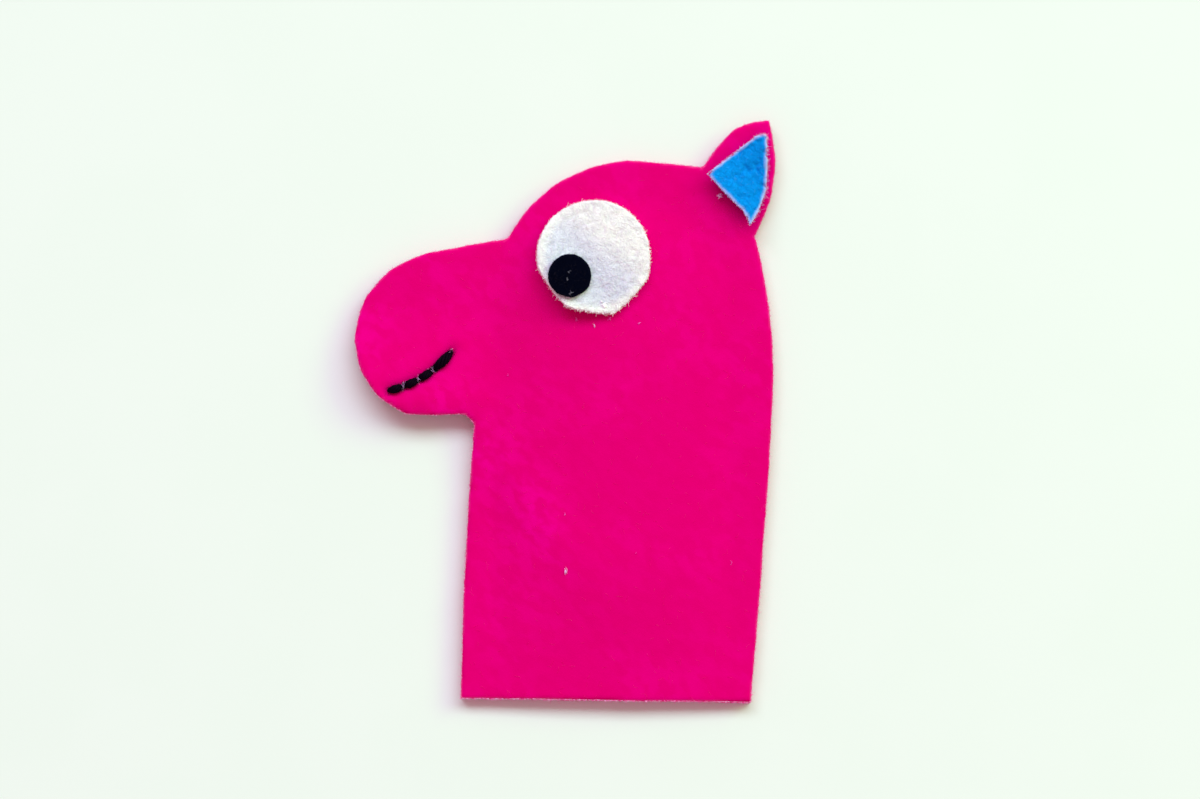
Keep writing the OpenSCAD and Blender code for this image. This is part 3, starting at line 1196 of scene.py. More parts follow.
@dataclass
class Fuzz:
    """Draws loose fibres along cut edges and over faces, always the same ones for a seed."""

    seed: int
    long_share: float = 0.08
    long_factor: float = 1.7
    root_depth: float = 0.12

    def __post_init__(self) -> None:
        """Starts this batch's own run of random numbers."""
        self.chance = random.Random(self.seed)

    def along_edge(
        self,
        batch: Fibres,
        outline: Points,
        height: Level,
        per_mm: float,
        length: float,
        thickness: float,
        keep: Callable[[Vector], bool] | None = None,
        spread: float = 0.5,
    ) -> None:
        """Adds fibres that stand out of a cut edge.

        Args:
            batch: Where the fibres go.
            outline: The cut edge.
            height: Height of the edge's middle at a place.
            per_mm: Fibres for each millimetre of edge.
            length: Usual length of a fibre.
            thickness: Thickness of a fibre.
            keep: Says whether a fibre that starts at a place is wanted.
            spread: How far above and below that height the fibres start.
        """
        chance = self.chance
        for start, end in zip(outline, np.roll(outline, -1, axis=0)):
            side = end - start
            reach = float(np.linalg.norm(side))
            if reach < 1e-6:
                continue
            out = Vector((side[1] / reach, -side[0] / reach, 0))
            way = Vector((side[0] / reach, side[1] / reach, 0))
            wanted = reach * per_mm
            count = int(wanted) + (chance.random() < wanted - int(wanted))
            for _ in range(count):
                share = chance.random()
                at = Vector((start[0] + share * side[0], start[1] + share * side[1], 0))
                level = chance.uniform(-spread, spread)
                size = length * chance.uniform(0.35, 1.0)
                size *= self.long_factor if chance.random() < self.long_share else 1.0
                lean, sway = chance.gauss(0, 0.8), chance.gauss(0, 0.45)
                curl = chance.gauss(0, 0.5)
                if keep is not None and not keep(at):
                    continue
                at.z = height(at.x, at.y) + level
                heading = (out + way * lean + Vector((0, 0, 0.25 + sway))).normalized()
                points = []
                for i in range(4):
                    t = i / 3
                    bend = way * curl * t * t + Vector((0, 0, -0.3 * t * t))
                    points.append(at - out * self.root_depth + (heading * t + bend * 0.5) * size)
                batch.add(points, thickness)

    def over_face(
        self,
        batch: Fibres,
        outline: Points,
        height: Level,
        count: int,
        length: float,
        thickness: float,
        margin: float = 0.4,
        keep: Callable[[Vector], bool] | None = None,
    ) -> None:
        """Adds fibres that lie over a face, each in a low arch.

        Args:
            batch: Where the fibres go.
            outline: The face's outline.
            height: Height of the face at a place.
            count: How many fibres to try.
            length: Usual length of a fibre.
            thickness: Thickness of a fibre.
            margin: How far they keep from the edge.
            keep: Says whether a fibre that starts at a place is wanted.
        """
        chance = self.chance
        low, high = outline.min(axis=0), outline.max(axis=0)
        starts = np.array([[chance.uniform(*side) for side in zip(low, high)] for _ in range(count)])
        wanted = inside(starts, outline) & (edge_distance(starts, outline) > margin)
        for (x, y), good in zip(starts, wanted):
            angle, size = chance.uniform(0, 2 * math.pi), length * chance.uniform(0.4, 1.0)
            curl, arch = chance.gauss(0, 0.6), chance.uniform(0.03, 0.12)
            if not good or (keep is not None and not keep(Vector((x, y, 0)))):
                continue
            points = []
            for i in range(5):
                t = i / 4
                heading = angle + curl * t
                px, py = x + math.cos(heading) * size * t, y + math.sin(heading) * size * t
                points.append(Vector((px, py, height(px, py) + arch * 4 * t * (1 - t))))
            batch.add(points, thickness)


# ---------------------------------------------------------------- sub-assemblies


def split(obj: bpy.types.Object, name: str, at: Vector, out: Vector) -> bpy.types.Object:
    """Cuts a closed piece in two with an upright plane and closes both cuts.

    Args:
        obj: The piece, which keeps the side that out points away from.
        name: The name of the new piece.
        at: A point of the cut, in metres.
        out: The cut's level direction.

    Returns:
        The new piece, on the side that out points to.
    """
    other = object_from(name, obj.data.copy())
    for piece, keep_out in ((obj, False), (other, True)):
        bm = bmesh.new()
        bm.from_mesh(piece.data)
        cut = bmesh.ops.bisect_plane(
            bm,
            geom=bm.verts[:] + bm.edges[:] + bm.faces[:],
            plane_co=(at.x, at.y, 0),
            plane_no=(out.x, out.y, 0),
            dist=1e-8,
            clear_outer=not keep_out,
            clear_inner=keep_out,
        )["geom_cut"]
        edges = [g for g in cut if isinstance(g, bmesh.types.BMEdge)]
        filled = bmesh.ops.edgeloop_fill(bm, edges=edges)["faces"]
        for edge in edges:
            edge.smooth = False
        for face in filled:
            face.smooth = False
        piece.data.name = piece.name
        bm.to_mesh(piece.data)
        bm.free()
    return other


@dataclass
class Bends:
    """Where fabric would bend between the frame's bodies; for now each piece only has its transform applied,
    and nothing bends.

    The sizes would be how far each bend reaches from the neck's joint, to both sides, and from the ear's
    root, in millimetres; they are not used.
    """

    sleeve_side: float = 5.0
    head_side: float = 9.0
    ear_reach: float = 4.6

    def across_neck(self, obj: bpy.types.Object) -> bpy.types.Object:
        """Applies a piece's transform to its mesh, between the sleeve and the head; it bends nothing."""
        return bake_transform(obj)

    def across_ear(self, obj: bpy.types.Object) -> bpy.types.Object:
        """Applies a piece's transform to its mesh, between the head and the ear; it bends nothing."""
        root, out = ear_frame()
        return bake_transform(obj)


@dataclass
class Panels:
    """The two pink panels, the glue between them and the fuzz of their cut edges."""

    drape: Drape
    bends: Bends
    cut_at: float = -0.25
    wobble: float = 0.16
    hem_offset: float = 0.2
    glue_inset: float = 1.0
    front_outline: Points = field(init=False)
    back_outline: Points = field(init=False)

    def __post_init__(self) -> None:
        """Cuts both outlines, the back one a touch longer at the hem."""
        self.front_outline = PATTERN.panel(self.wobble, 2.0).points()
        back = PATTERN.panel(self.wobble, 2.6).points()
        hem = 1 - smoothstep(0.0, 3.0, back[:, 1] - CAD_BOX[0].y / MM)
        back[:, 1] -= self.hem_offset * hem
        self.back_outline = back

    def build(self) -> dict[str, bpy.types.Object]:
        """Models and dresses every piece.

        Returns:
            The pieces by name.
        """
        made = {}
        root, out = ear_frame()
        cut = (root + out * self.cut_at) * MM
        for side, obj in (("front", self._front()), ("back", self._back())):
            dress(obj, PINK)
            ear = split(obj, f"{side}_felt_ear", cut, out)
            self.bends.across_neck(obj)
            self.bends.across_ear(ear)
            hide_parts(f"{side}_panel_neck", f"{side}_panel_head")
            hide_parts(f"{side}_panel_ear")
            made |= {obj.name: obj, ear.name: ear}
        made |= self._seam_bead(cut, out)
        made |= self._fuzz(cut, out, beyond=False)
        made |= self._fuzz(cut, out, beyond=True)
        self._declare()
        return made

    def front_level(self, x: float, y: float) -> float:
        """Height of the front panel's underside."""
        return self.drape.front(x, y) - PATTERN.felt_t

    def back_level(self, x: float, y: float) -> float:
        """Height of the back panel's underside."""
        return 0.06 + float(self.drape.lift(x, y))

    def _front(self) -> bpy.types.Object:
        """The front panel with the stitches' dents."""
        return FeltPiece(
            "front_felt",
            self.front_outline,
            PATTERN.felt_t,
            self.front_level,
            fray=0.13,
            seed=1.0,
            frayed=0.2,
            dents=stitch_dents,
            rubbed=self.drape.painted_highlight,
        ).build()

    def _back(self) -> bpy.types.Object:
        """The back panel, which lies on the table."""
        return FeltPiece(
            "back_felt", self.back_outline, PATTERN.felt_t, self.back_level, seed=4.0, frayed=0.3
        ).build()

    def _seam_outline(self) -> Points:
        """The glued strip: the panels' outline, less the pocket that is open at the hem."""
        left, right, end = PATTERN.pocket
        gap, hem = 0.5, 0.9
        low, high = PATTERN.place(left - gap, hem), PATTERN.place(right + gap, end)
        outline = PATTERN.panel(0.0, 0.0).points(self.glue_inset)
        at_hem = (outline[:, 1] < low.y + hem) & (outline[:, 0] > low.x) & (outline[:, 0] < high.x)
        around = np.roll(outline[~at_hem], -int(np.argmax(at_hem)), axis=0)
        middle, radius = (low.x + high.x) / 2, (high.x - low.x) / 2
        turns = np.linspace(math.pi, 0, 40)
        arch = [(middle + radius * math.cos(a), high.y + radius * math.sin(a)) for a in turns]
        foot = low.y + hem / 2
        return np.vstack([around, np.array([(low.x, foot), *arch, (high.x, foot)])])

    def _seam_bead(self, cut: Vector, out: Vector) -> dict[str, bpy.types.Object]:
        """The glue between the panels, split at the ear's root as they are."""
        finish, below = GlueFinish(), raised(self.drape.lift, PATTERN.felt_t)
        bead = dress(GlueLayer("seam_bead", self._seam_outline(), below).build(), finish)
        ear = split(bead, "seam_bead_ear", cut, out)
        self.bends.across_neck(bead)
        self.bends.across_ear(ear)
        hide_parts("seam_glue_throat", "seam_glue_nape", "seam_glue_head")
        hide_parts("seam_glue_ear")
        return {bead.name: bead, ear.name: ear}

    def _fuzz(self, cut: Vector, out: Vector, beyond: bool) -> dict[str, bpy.types.Object]:
        """Loose fibres round both panels' edges and over the front.

        Args:
            cut: A point of the ear's root line, in metres.
            out: The way out of the ear.
            beyond: Whether these are the ear's fibres or the rest.

        Returns:
            The batches by name.
        """
        suffix, fuzz = ("_ear", Fuzz(12)) if beyond else ("", Fuzz(11))
        edge = Fibres("edge_fuzz" + suffix, EDGE_STRAND)
        rim = Fibres("rim_fuzz" + suffix, EDGE_STRAND)
        face = Fibres("face_fuzz" + suffix, PINK_STRAND)
        half, hem_y = PATTERN.felt_t / 2, CAD_BOX[0].y / MM

        def keep(at: Vector) -> bool:
            """Whether a place is on this piece's side of the ear's root."""
            return ((Vector((at.x, at.y)) * MM - cut).dot(out) > 0.3 * MM) == beyond

        def at_hem(at: Vector) -> bool:
            """Whether a place is on the hem."""
            return keep(at) and at.y < hem_y + 1.6

        front, back = raised(self.front_level, half), raised(self.back_level, half)
        top = raised(self.drape.front, -0.22)
        outline, surface = self.front_outline, raised(self.drape.front, 0.02)
        fuzz.along_edge(edge, outline, front, per_mm=4.0, length=0.42, thickness=0.042, keep=keep)
        fuzz.along_edge(edge, self.back_outline, back, per_mm=4.0, length=0.5, thickness=0.042, keep=keep)
        fuzz.along_edge(rim, outline, top, per_mm=8.0, length=0.3, thickness=0.055, keep=keep, spread=0.16)
        if not beyond:
            fuzz.along_edge(
                rim, outline, top, per_mm=9.0, length=0.42, thickness=0.07, keep=at_hem, spread=0.16
            )
        fuzz.over_face(face, outline, surface, count=900, length=1.2, thickness=0.035, keep=keep)
        bend = self.bends.across_ear if beyond else self.bends.across_neck
        return {batch.name: bend(batch.build()) for batch in (edge, rim, face)}

    def _declare(self) -> None:
        """Works out each sheet's cut size, which is then not kept."""
        root, out = ear_frame()
        edge = np.array(root + out * self.cut_at)
        for side, outline in (("front", self.front_outline), ("back", self.back_outline)):
            beyond = (outline - edge) @ np.array(out) > 0
            for name, part in ((f"{side}_felt", outline[~beyond]), (f"{side}_felt_ear", outline[beyond])):
                declare_sheet(part)


def declare_sheet(
    outline: Points
) -> None:
    """Works out the width, length and area of a piece of felt cut to an outline, in millimetres, and keeps
    none of them.
    """
    width, length = (float(side) * MM for side in outline.max(axis=0) - outline.min(axis=0))
    flat_area(outline) * MM * MM


def stitch_dents(points: Points) -> Points:
    """How far the floss pulls the front panel's top down, in millimetres.

    Args:
        points: Rows of x, y and z, in millimetres.

    Returns:
        A depth for each point.
    """
    depth = np.zeros(len(points))
    marks = [(share, *HOLE_DENT) for share in STITCH_HOLES] + [(i / 40, *LINE_DENT) for i in range(41)]
    for share, deep, wide in marks:
        spot = PATTERN.mouth(share)
        away = np.hypot(points[:, 0] - spot.x, points[:, 1] - spot.y)
        depth = np.maximum(depth, deep * np.exp(-((away / wide) ** 2)))
    return depth


@dataclass(frozen=True)
class Tuft:
    """A few fibres caught together: where in the pattern, how long, how many and which way."""

    x: float
    y: float
    size: float
    count: int
    angle: float = 1.4
    spread: float = 0.5
    thickness: float = 0.08
    lift: float = 0.0

    def add_to(self, batch: Fibres, level: Level, chance: random.Random) -> None:
        """Adds the tuft's fibres to a batch, over a surface."""
        centre = PATTERN.place(self.x, self.y)
        base = level(centre.x, centre.y) + self.lift
        for _ in range(self.count):
            angle = chance.gauss(self.angle, self.spread)
            way = Vector((math.cos(angle), math.sin(angle), 0)) * self.size * chance.uniform(0.3, 0.5)
            nudge = Vector((chance.gauss(0, 0.12), chance.gauss(0, 0.12), 0)) * self.size
            middle = Vector((centre.x, centre.y, base + chance.uniform(0.03, 0.16))) + nudge
            bow = Vector((chance.gauss(0, 0.1), chance.gauss(0, 0.1), 0.12)) * self.size
            bent = [middle - way * 0.35 + bow, middle + way * 0.35 + bow]
            batch.add([middle - way, *bent, middle + way], self.thickness)


@dataclass
class Eye:
    """The white disc, the pupil on it, the glue under each and their loose fibres."""

    drape: Drape
    lean: float = 2.3
    lean_way: tuple[float, float] = (-0.88, -0.47)
    trim_t: float = 1.2
    pupil_t: float = 1.05
    glue_t: float = 0.2
    glints: tuple[Tuft, ...] = (
        Tuft(15.8, 71.6, 0.75, 3, 2.2),
        Tuft(16.2, 72.9, 0.6, 2, 2.4),
        Tuft(16.3, 69.3, 0.8, 5, 1.1, thickness=0.11),
    )
    specks: tuple[Tuft, ...] = (
        Tuft(22.1, 67.3, 0.8, 18, 1.5, 1.2, 0.2),
        Tuft(21.6, 67.9, 0.5, 6, 2.3, 0.8, 0.1),
    )

    def __post_init__(self) -> None:
        """Cuts the two discs."""
        self.white = PATTERN.disc(PATTERN.eye_at, PATTERN.eye_d, EYE_RING).points()
        self.black = PATTERN.disc(PATTERN.pupil_at, PATTERN.pupil_d, PUPIL_RING).points()

    def _lean(self, x: float, y: float) -> float:
        """How far the disc stands off towards the nose and the chin, where it isn't glued."""
        centre = PATTERN.place(*PATTERN.eye_at)
        way_x, way_y = self.lean_way
        out = ((x - centre.x) * way_x + (y - centre.y) * way_y) / (PATTERN.eye_d / 2)
        return self.lean * float(smoothstep(0.1, 1.0, out))

    def white_below(self, x: float, y: float) -> float:
        """Height of the white's underside."""
        return self.drape.front(x, y) + self.glue_t + self._lean(x, y)

    def white_top(self, x: float, y: float) -> float:
        """Height of the white's top."""
        return self.white_below(x, y) + self.trim_t

    def _grey(self, points: Points) -> Points:
        """Where the white turns greyer and bluer: over its middle and towards the chin."""
        centre = PATTERN.place(*PATTERN.eye_at)
        up = points[:, 1] - centre.y + 0.8 * (points[:, 0] - centre.x)
        from_rim = PATTERN.eye_d / 2 - np.hypot(*(points[:, :2] - centre).T)
        return (1 - smoothstep(-1.5, 6.5, up)) * smoothstep(0.6, 2.4, from_rim)

    def build(self) -> dict[str, bpy.types.Object]:
        """Models, dresses and rides the eye's pieces.

        Returns:
            The pieces by name.
        """
        white = FeltPiece(
            "eye_felt", self.white, self.trim_t, self.white_below,
            voxel=0.27, relief=0.13, fray=0.17, seed=9.0, frayed=0.4,
            crease=0.18, crease_w=0.9, crease_turn=0.6, rubbed=self._grey,
        ).build()
        pupil = FeltPiece(
            "pupil_felt", self.black, self.pupil_t, raised(self.white_top, 0.05),
            voxel=0.22, relief=0.05, fray=0.07, seed=14.0,
        ).build()
        made = {
            "eye_white": dress(white, WHITE),
            "pupil": dress(pupil, BLACK),
            "eye_glue": self._glue("eye_glue_layer", PATTERN.eye_at, 12.0, self.drape.front, (1.6, 1.2)),
            "pupil_glue": self._glue("pupil_glue_layer", PATTERN.pupil_at, 5.0, raised(self.white_top, -0.1)),
        }
        for node, obj in made.items():
            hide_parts(node)
        pieces = {obj.name: obj for obj in (*made.values(), *self._fuzz())}
        for obj in pieces.values():
            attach(obj, Body.HEAD.value)
        declare_sheet(self.white)
        return pieces

    @staticmethod
    def _glue(
        name: str, at: tuple[float, float], size: float, below: Level, shift: tuple[float, float] = (0, 0)
    ) -> bpy.types.Object:
        """A round dab of glue, pressed flat.

        Args:
            name: The piece's name.
            at: The middle of the felt that it holds, in the pattern.
            size: Its diameter.
            below: Height of what it lies on.
            shift: How far it lies from that middle.

        Returns:
            The dressed layer.
        """
        ring = PATTERN.disc((at[0] + shift[0], at[1] + shift[1]), size, DAB_RING).points()
        return dress(GlueLayer(name, ring, below, thickness=0.16, cell=1.0).build(), GlueFinish())

    def _fuzz(self) -> list[bpy.types.Object]:
        """Loose fibres of the white and of the pupil, and what is caught on them."""
        white, black = Fibres("eye_fuzz", WHITE_STRAND), Fibres("pupil_fuzz", BLACK_STRAND)
        lint, glint = Fibres("eye_lint", WHITE_STRAND), Fibres("pupil_lint", GREY_STRAND)
        fuzz, chance = Fuzz(21), random.Random(22)
        centre = PATTERN.place(*PATTERN.eye_at)
        rim, pupil_top = raised(self.white_top, -0.35), raised(self.white_top, self.pupil_t + 0.05)
        surface, edge = raised(self.white_top, 0.04), raised(self.white_top, self.trim_t / 2)

        def low(at: Vector) -> bool:
            """Whether a place is on the edge towards the chin."""
            return at.y < centre.y - 5

        fuzz.along_edge(white, self.white, rim, per_mm=13.0, length=0.45, thickness=0.07, spread=0.3)
        fuzz.along_edge(
            white, self.white, rim, per_mm=1.0, length=1.1, thickness=0.05, keep=low, spread=0.2
        )
        fuzz.over_face(white, self.white, surface, count=320, length=1.2, thickness=0.055)
        fuzz.along_edge(black, self.black, edge, per_mm=8.0, length=0.35, thickness=0.05)
        fuzz.over_face(black, self.black, pupil_top, count=90, length=1.0, thickness=0.05)
        for tuft in self.specks:
            tuft.add_to(lint, self.white_top, chance)
        for tuft in self.glints:
            tuft.add_to(glint, pupil_top, chance)
        return [batch.build() for batch in (white, black, lint, glint)]


@dataclass
class EarLining:
    """The blue lining of the ear, glued down but for its edge at the root."""

    drape: Drape
    bends: Bends
    root_lift: float = 1.8
    trim_t: float = 1.2
    glue_t: float = 0.2

    def below(self, x: float, y: float) -> float:
        """Height of the lining's underside."""
        lifted = 1 - float(smoothstep(0.0, 6.5, self.drape.ear_out(x, y)))
        return self.drape.front(x, y) + self.glue_t + self.root_lift * lifted

    def build(self) -> dict[str, bpy.types.Object]:
        """Models and dresses the lining, its glue and its fuzz.

        Returns:
            The pieces by name.
        """
        outline = PATTERN.inner_ear().points()
        lining = FeltPiece(
            "inner_ear_felt", outline, self.trim_t, self.below,
            # unshaded_foot=0.0 paints shade over the whole foot of the lining's cut edge, so only its lit top
            # is pale.
            voxel=0.22, relief=0.17, fray=0.14, seed=17.0, frayed=0.5, unshaded_foot=0.0,
            crease=0.34, crease_w=1.3,
        ).build()
        out = np.array(ear_frame()[1])
        middle = outline.mean(axis=0)
        dab = middle + 1.4 * out + (outline - middle) * 0.5
        glue = GlueLayer("inner_ear_glue_layer", dab, self.drape.front, thickness=0.16, cell=1.0).build()
        pieces = (dress(lining, BLUE), dress(glue, GlueFinish()), *self._fuzz(outline))
        for obj in pieces:
            self.bends.across_ear(obj)
        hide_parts("inner_ear")
        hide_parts("inner_ear_glue")
        declare_sheet(outline)
        return {obj.name: obj for obj in pieces}

    def _fuzz(self, outline: Points) -> list[bpy.types.Object]:
        """The pale fringe of the lining's edge and the loose fibres on its face."""
        fringe, face = Fibres("inner_ear_fringe", LILAC_STRAND), Fibres("inner_ear_fuzz", BLUE_STRAND)
        fuzz, half, middle_x = Fuzz(31), self.trim_t / 2, outline[:, 0].mean()

        def nape_side(at: Vector) -> bool:
            """Whether a place is on the edge towards the nape."""
            return at.x > middle_x + 1.5

        rim, edge = raised(self.below, half + 0.25), raised(self.below, half)
        surface = raised(self.below, self.trim_t + 0.04)
        fuzz.along_edge(fringe, outline, rim, per_mm=11.0, length=0.36, thickness=0.06)
        fuzz.along_edge(fringe, outline, edge, per_mm=8.0, length=0.85, thickness=0.034, keep=nape_side)
        fuzz.over_face(face, outline, surface, count=130, length=1.1, thickness=0.045)
        return [fringe.build(), face.build()]


@dataclass
class Mouth:
    """The smile: four plump back stitches, the floss behind them and the fibres caught in them."""

    drape: Drape
    plies: int = 6
    ply_r: float = 0.28
    spread: float = 0.45
    last_spread: float = 0.6
    rise: float = 0.4
    sunk: float = 0.8
    squash: float = 0.62
    twist: float = 0.75
    steps: int = 18
    tight_r: float = 0.34
    knot_ply_r: float = 0.22

    def _floss(self, name: str, paths: Iterable[Strand]) -> bpy.types.Object:
        """Floss along paths, thinner at its ends."""

        def taper(share: float) -> float:
            """Half as thick at its ends as in its middle."""
            return 0.5 + 0.5 * math.sin(math.pi * share) ** 0.5

        return dress(tubes(name, paths, bevel=1.0, rounds=2, taper=taper), FlossFinish())

    def _stitch(self, start: float, end: float, spread: float, index: int) -> list[Strand]:
        """The plies of one stitch, twisted about a low arch from hole to hole."""
        way = (PATTERN.mouth(end) - PATTERN.mouth(start)).normalized()
        side = Vector((way.y, -way.x, 0))
        strands = []
        for ply in range(self.plies):
            phase = 2 * math.pi * ply / self.plies + 0.8 * index
            points = []
            for i in range(self.steps + 1):
                t = i / self.steps
                swell = max(math.sin(math.pi * t), 0.02) ** 0.62
                at = PATTERN.mouth(start + (end - start) * t)
                level = self.drape.front(at.x, at.y) - self.sunk + (self.sunk + self.rise) * swell
                angle = phase + self.twist * 2 * math.pi * t
                across = side * (math.cos(angle) * spread * swell)
                up = Vector((0, 0, self.squash * math.sin(angle) * spread * swell))
                points.append(Vector((at.x, at.y, level)) + across + up)
            strands.append((points, self.ply_r))
        return strands

    def _inside_level(self, at: Vector) -> float:
        """Height of the floss between the panels."""
        return PATTERN.felt_t + PATTERN.glue_t / 2 + float(self.drape.lift(at.x, at.y))

    def _run(self) -> Strand:
        """The floss between the panels, from knot to knot."""
        points = []
        for i in range(61):
            at = PATTERN.mouth(i / 60)
            points.append(Vector((at.x, at.y, self._inside_level(at) + 0.05 * math.sin(i))))
        return points, self.tight_r

    def _knot(self, share: float) -> Strand:
        """A small overhand knot at an end of the run."""
        at = PATTERN.mouth(share)
        level, loop = self._inside_level(at), []
        for i in range(37):
            turn = 4 * math.pi * i / 36
            reach = 0.34 + 0.12 * math.cos(1.5 * turn)
            spot = Vector((math.cos(turn) * reach, math.sin(turn) * reach, 0.14 * math.sin(1.5 * turn)))
            loop.append(Vector((at.x, at.y, level)) + spot)
        return loop, self.knot_ply_r

    def build(self) -> dict[str, bpy.types.Object]:
        """Models, dresses and rides the mouth's pieces.

        Returns:
            The pieces by name.
        """
        paths, last = [], len(STITCH_HOLES) - 2
        for index, (start, end) in enumerate(zip(STITCH_HOLES, STITCH_HOLES[1:])):
            spread = self.last_spread if index == last else self.spread
            paths.extend(self._stitch(start, end, spread, index))
        hidden = [self._run(), self._knot(0.0), self._knot(1.0)]
        made = {
            "mouth_stitches": self._floss("mouth_floss", paths),
            "mouth_thread_inside": self._floss("mouth_floss_inside", hidden),
        }
        for node, obj in made.items():
            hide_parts(node)
        pieces = {obj.name: obj for obj in (*made.values(), self._caught(), self._loose())}
        for obj in pieces.values():
            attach(obj, Body.HEAD.value)
        return pieces

    def _caught(self) -> bpy.types.Object:
        """Pale fibres pulled over the floss where each stitch meets the next."""
        chance, batch = random.Random(41), Fibres("caught_fibres", CAUGHT_STRAND)
        for share in (*STITCH_HOLES[1:-1], 0.93, 1.0):
            crosses = share in STITCH_HOLES[1:-1]
            at = PATTERN.mouth(share)
            way = (PATTERN.mouth(min(share + 0.03, 1.0)) - PATTERN.mouth(share - 0.03)).normalized()
            side, base = Vector((way.y, -way.x)), self.drape.front(at.x, at.y)
            for _ in range(5 if crosses else 3):
                start = at + way * chance.gauss(0, 0.14)
                lean = side + way * chance.gauss(0, 0.7)
                if not crosses:
                    start, lean = start - side * 0.25, 0.7 * way + 0.3 * lean
                half, top = chance.uniform(0.4, 1.0), chance.uniform(0.15, 0.5)
                points = []
                for i in range(6):
                    t = 2 * i / 5 - 1
                    spot = start + lean * half * t
                    points.append(Vector((spot.x, spot.y, base + top * (1 - t * t) - 0.08)))
                batch.add(points, 0.042)
        return batch.build()

    def _loose(self) -> bpy.types.Object:
        """Black fibres that stand off the floss, so many that they also paint the shade round the stitches.
        """
        chance, batch = random.Random(42), Fibres("floss_fuzz", replace(BLACK_STRAND, slot=Slot.FLOSS))
        for _ in range(900):
            at = PATTERN.mouth(chance.random())
            angle, size = chance.uniform(0, 2 * math.pi), chance.uniform(0.2, 0.6)
            level = self.drape.front(at.x, at.y) + chance.uniform(-0.3, 0.4)
            heading = Vector((math.cos(angle), math.sin(angle), chance.uniform(-0.1, 0.3)))
            start, step = Vector((at.x, at.y, level)) + heading * 0.42, heading * size * 0.33
            batch.add([start + step * i + Vector((0, 0, -0.04 * i * i)) for i in range(4)], 0.04)
        return batch.build()


@dataclass
class Lint:
    """Specks of dust and caught fibre that lie on the front."""

    drape: Drape
    white_on_sleeve: tuple[Tuft, ...] = (Tuft(15.35, 22.35, 0.95, 5, 1.75, 0.12, 0.1),)
    pink_on_sleeve: tuple[Tuft, ...] = (
        Tuft(15.4, 32.0, 0.45, 3, 1.5),
        Tuft(27.4, 25.4, 0.4, 2, 1.0),
        Tuft(43.5, 23.7, 0.7, 2, 1.4),
    )
    white_on_head: tuple[Tuft, ...] = (
        Tuft(41.6, 85.9, 0.95, 16, 0.6, 1.0, 0.06, 0.7),
        Tuft(20.3, 63.9, 0.7, 3, 1.9, 0.5, 0.07),
    )
    pink_on_head: tuple[Tuft, ...] = (
        Tuft(28.0, 64.3, 0.5, 4, 1.4, 0.6, 0.09),
        Tuft(17.4, 64.9, 0.8, 4, 1.7, 0.5, 0.06),
        Tuft(22.9, 65.0, 0.9, 4, 1.2, 0.5, 0.06),
        Tuft(5.7, 55.5, 0.4, 3, 1.2),
    )

    def build(self) -> dict[str, bpy.types.Object]:
        """Models the specks and rides each batch on the body below it.

        Returns:
            The batches by name.
        """
        made = {}
        groups = (
            ("sleeve_lint", Body.SLEEVE, LINT_STRAND, self.white_on_sleeve),
            ("sleeve_specks", Body.SLEEVE, SPECK_STRAND, self.pink_on_sleeve),
            ("head_lint", Body.HEAD, LINT_STRAND, self.white_on_head),
            ("head_specks", Body.HEAD, SPECK_STRAND, self.pink_on_head),
        )
        for number, (name, body, finish, tufts) in enumerate(groups):
            batch, chance = Fibres(name, finish), random.Random(50 + number)
            for tuft in tufts:
                tuft.add_to(batch, self.drape.front, chance)
            made[name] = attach(batch.build(), body.value)
        return made


# ---------------------------------------------------------------- the studio


@dataclass(frozen=True)
class TableFinish:
    """The pale painted table that the puppet lies on."""

    name: str = "pale_table"
    base: Colour = (0.766, 0.88, 0.785, 1)
    wear_and_crease_shade: Colour = (0.773, 0.883, 0.792, 1)

    def material(self) -> bpy.types.Material:
        """Mixes the table's paint."""
        paint = Paint(self.name)
        grain = paint.lumps(30.0, 3.0).between(0.4, 0.6)
        return paint.finish(
            Base_Color=paint.mix(grain, self.base, self.wear_and_crease_shade),
            Roughness=0.85,
            Specular_IOR_Level=0.05,
            Normal=paint.bump(paint.lumps(0.8, 3.0), 0.08, 0.05 * MM),
        )


@dataclass(frozen=True)
class Lamp:
    """A rectangular lamp that looks at the puppet.

    turn is its direction clockwise from +Y and up its elevation, in degrees; away, width and height
    are in metres.
    """

    name: str
    turn: float
    up: float
    away: float
    width: float
    height: float
    power: float
    colour: tuple[float, float, float]

    def hang(self) -> None:
        """Puts the lamp in its place."""
        turn, up = math.radians(self.turn), math.radians(self.up)
        way = Vector((math.sin(turn) * math.cos(up), math.cos(turn) * math.cos(up), math.sin(up)))
        light = bpy.data.lights.new(self.name, "AREA")
        light.shape = "RECTANGLE"
        light.size, light.size_y = self.width, self.height
        light.energy, light.color = self.power, self.colour
        lamp = object_from(self.name, light)
        lamp.location = way * self.away
        lamp.rotation_euler = (-way).to_track_quat("-Z", "Y").to_euler()


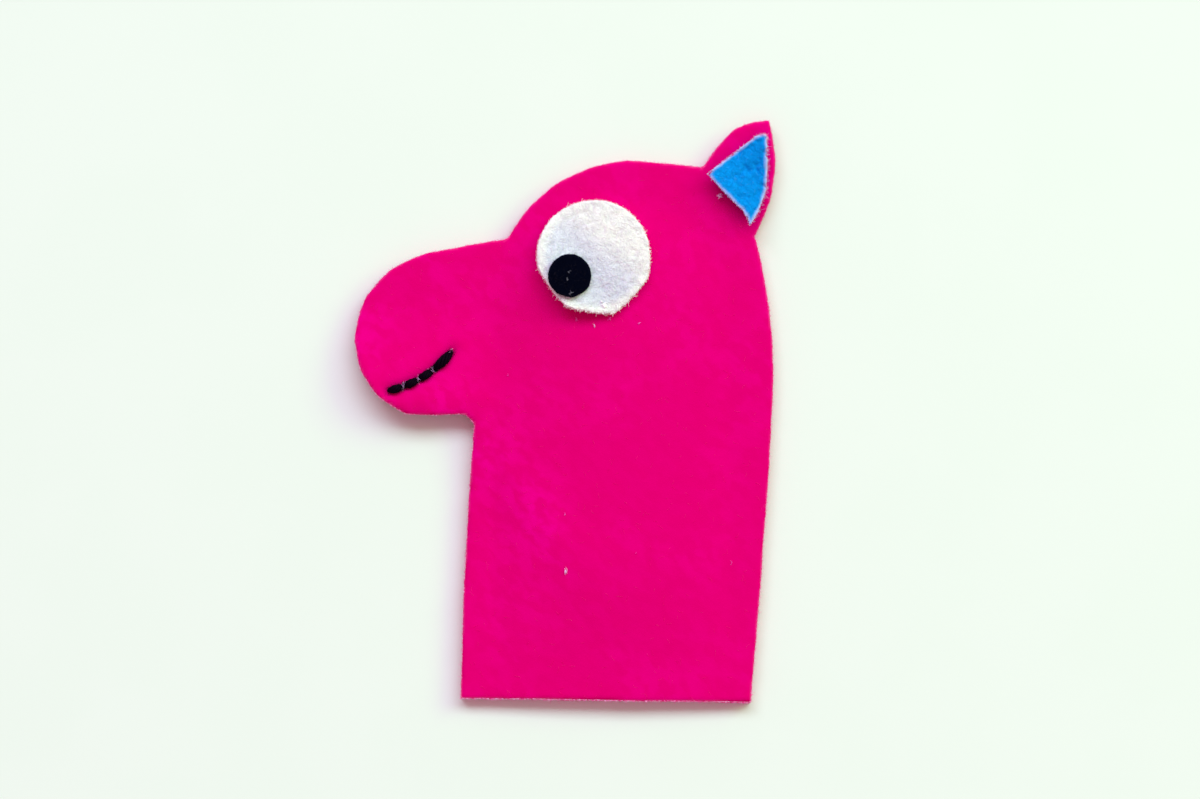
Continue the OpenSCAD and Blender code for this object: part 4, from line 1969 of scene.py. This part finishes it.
@dataclass
class Studio:
    """The table, the camera and the lights: a window beyond the head and a reflection beyond the nape."""

    table_half_m: float = 1.5
    field_w: float = 204.0
    distance: float = 1000.0
    sensor: float = 36.0
    aim_x: float = 5.96
    aim_y: float = 2.0
    window: Lamp = Lamp(
        "window", turn=6.0, up=50.0, away=5.0, width=7.5, height=2.1, power=308.0, colour=(0.72, 0.845, 1.0)
    )
    side: Lamp = Lamp(
        "side", turn=60.0, up=28.0, away=2.2, width=1.4, height=0.7, power=22.0, colour=(0.42, 1.0, 0.25)
    )
    sky: float = 0.57
    sky_colour: Colour = (1.0, 0.55, 0.665, 1)

    def camera(self) -> None:
        """Hangs the camera straight above the table, with the top of its view along +Y."""
        lens = bpy.data.cameras.new("camera")
        lens.sensor_width = self.sensor
        lens.lens = self.sensor * self.distance / self.field_w
        lens.clip_start, lens.clip_end = 0.01, 20.0
        camera = object_from("camera", lens)
        camera.location = (self.aim_x * MM, self.aim_y * MM, self.distance * MM)
        bpy.context.scene.camera = camera

    def table(self) -> None:
        """A wide flat table top."""
        bm = bmesh.new()
        bmesh.ops.create_grid(bm, x_segments=1, y_segments=1, size=self.table_half_m)
        top = object_from_bmesh("table_top", bm)
        top.data.materials.append(TableFinish().material())

    def sky_light(self) -> None:
        """The room's pale light, and plain colour handling."""
        world = bpy.data.worlds.new("sky")
        world.use_nodes = True
        background = world.node_tree.nodes["Background"]
        background.inputs["Color"].default_value = self.sky_colour
        background.inputs["Strength"].default_value = self.sky
        scene = bpy.context.scene
        scene.world = world
        scene.view_settings.view_transform = "Standard"
        scene.view_settings.look = "None"

    def build(self) -> None:
        """Sets up the table and the lights; the camera is made first, on its own."""
        self.table()
        self.window.hang()
        self.side.hang()
        self.sky_light()


def main() -> None:
    """Builds the studio and every piece of the puppet, and reports each one."""
    logging.basicConfig(level=logging.INFO, format="%(name)s: %(message)s")
    studio = Studio()
    studio.camera()
    drape, bends = Drape(), Bends()
    drape.simulate()
    assemblies = (Panels(drape, bends), Eye(drape), EarLining(drape, bends), Mouth(drape), Lint(drape))
    for assembly in assemblies:
        for name, obj in assembly.build().items():
            LOG.info("%s: %s, %d faces", type(assembly).__name__, name, len(obj.data.polygons))
    studio.build()


if __name__ == "__main__":
    main()
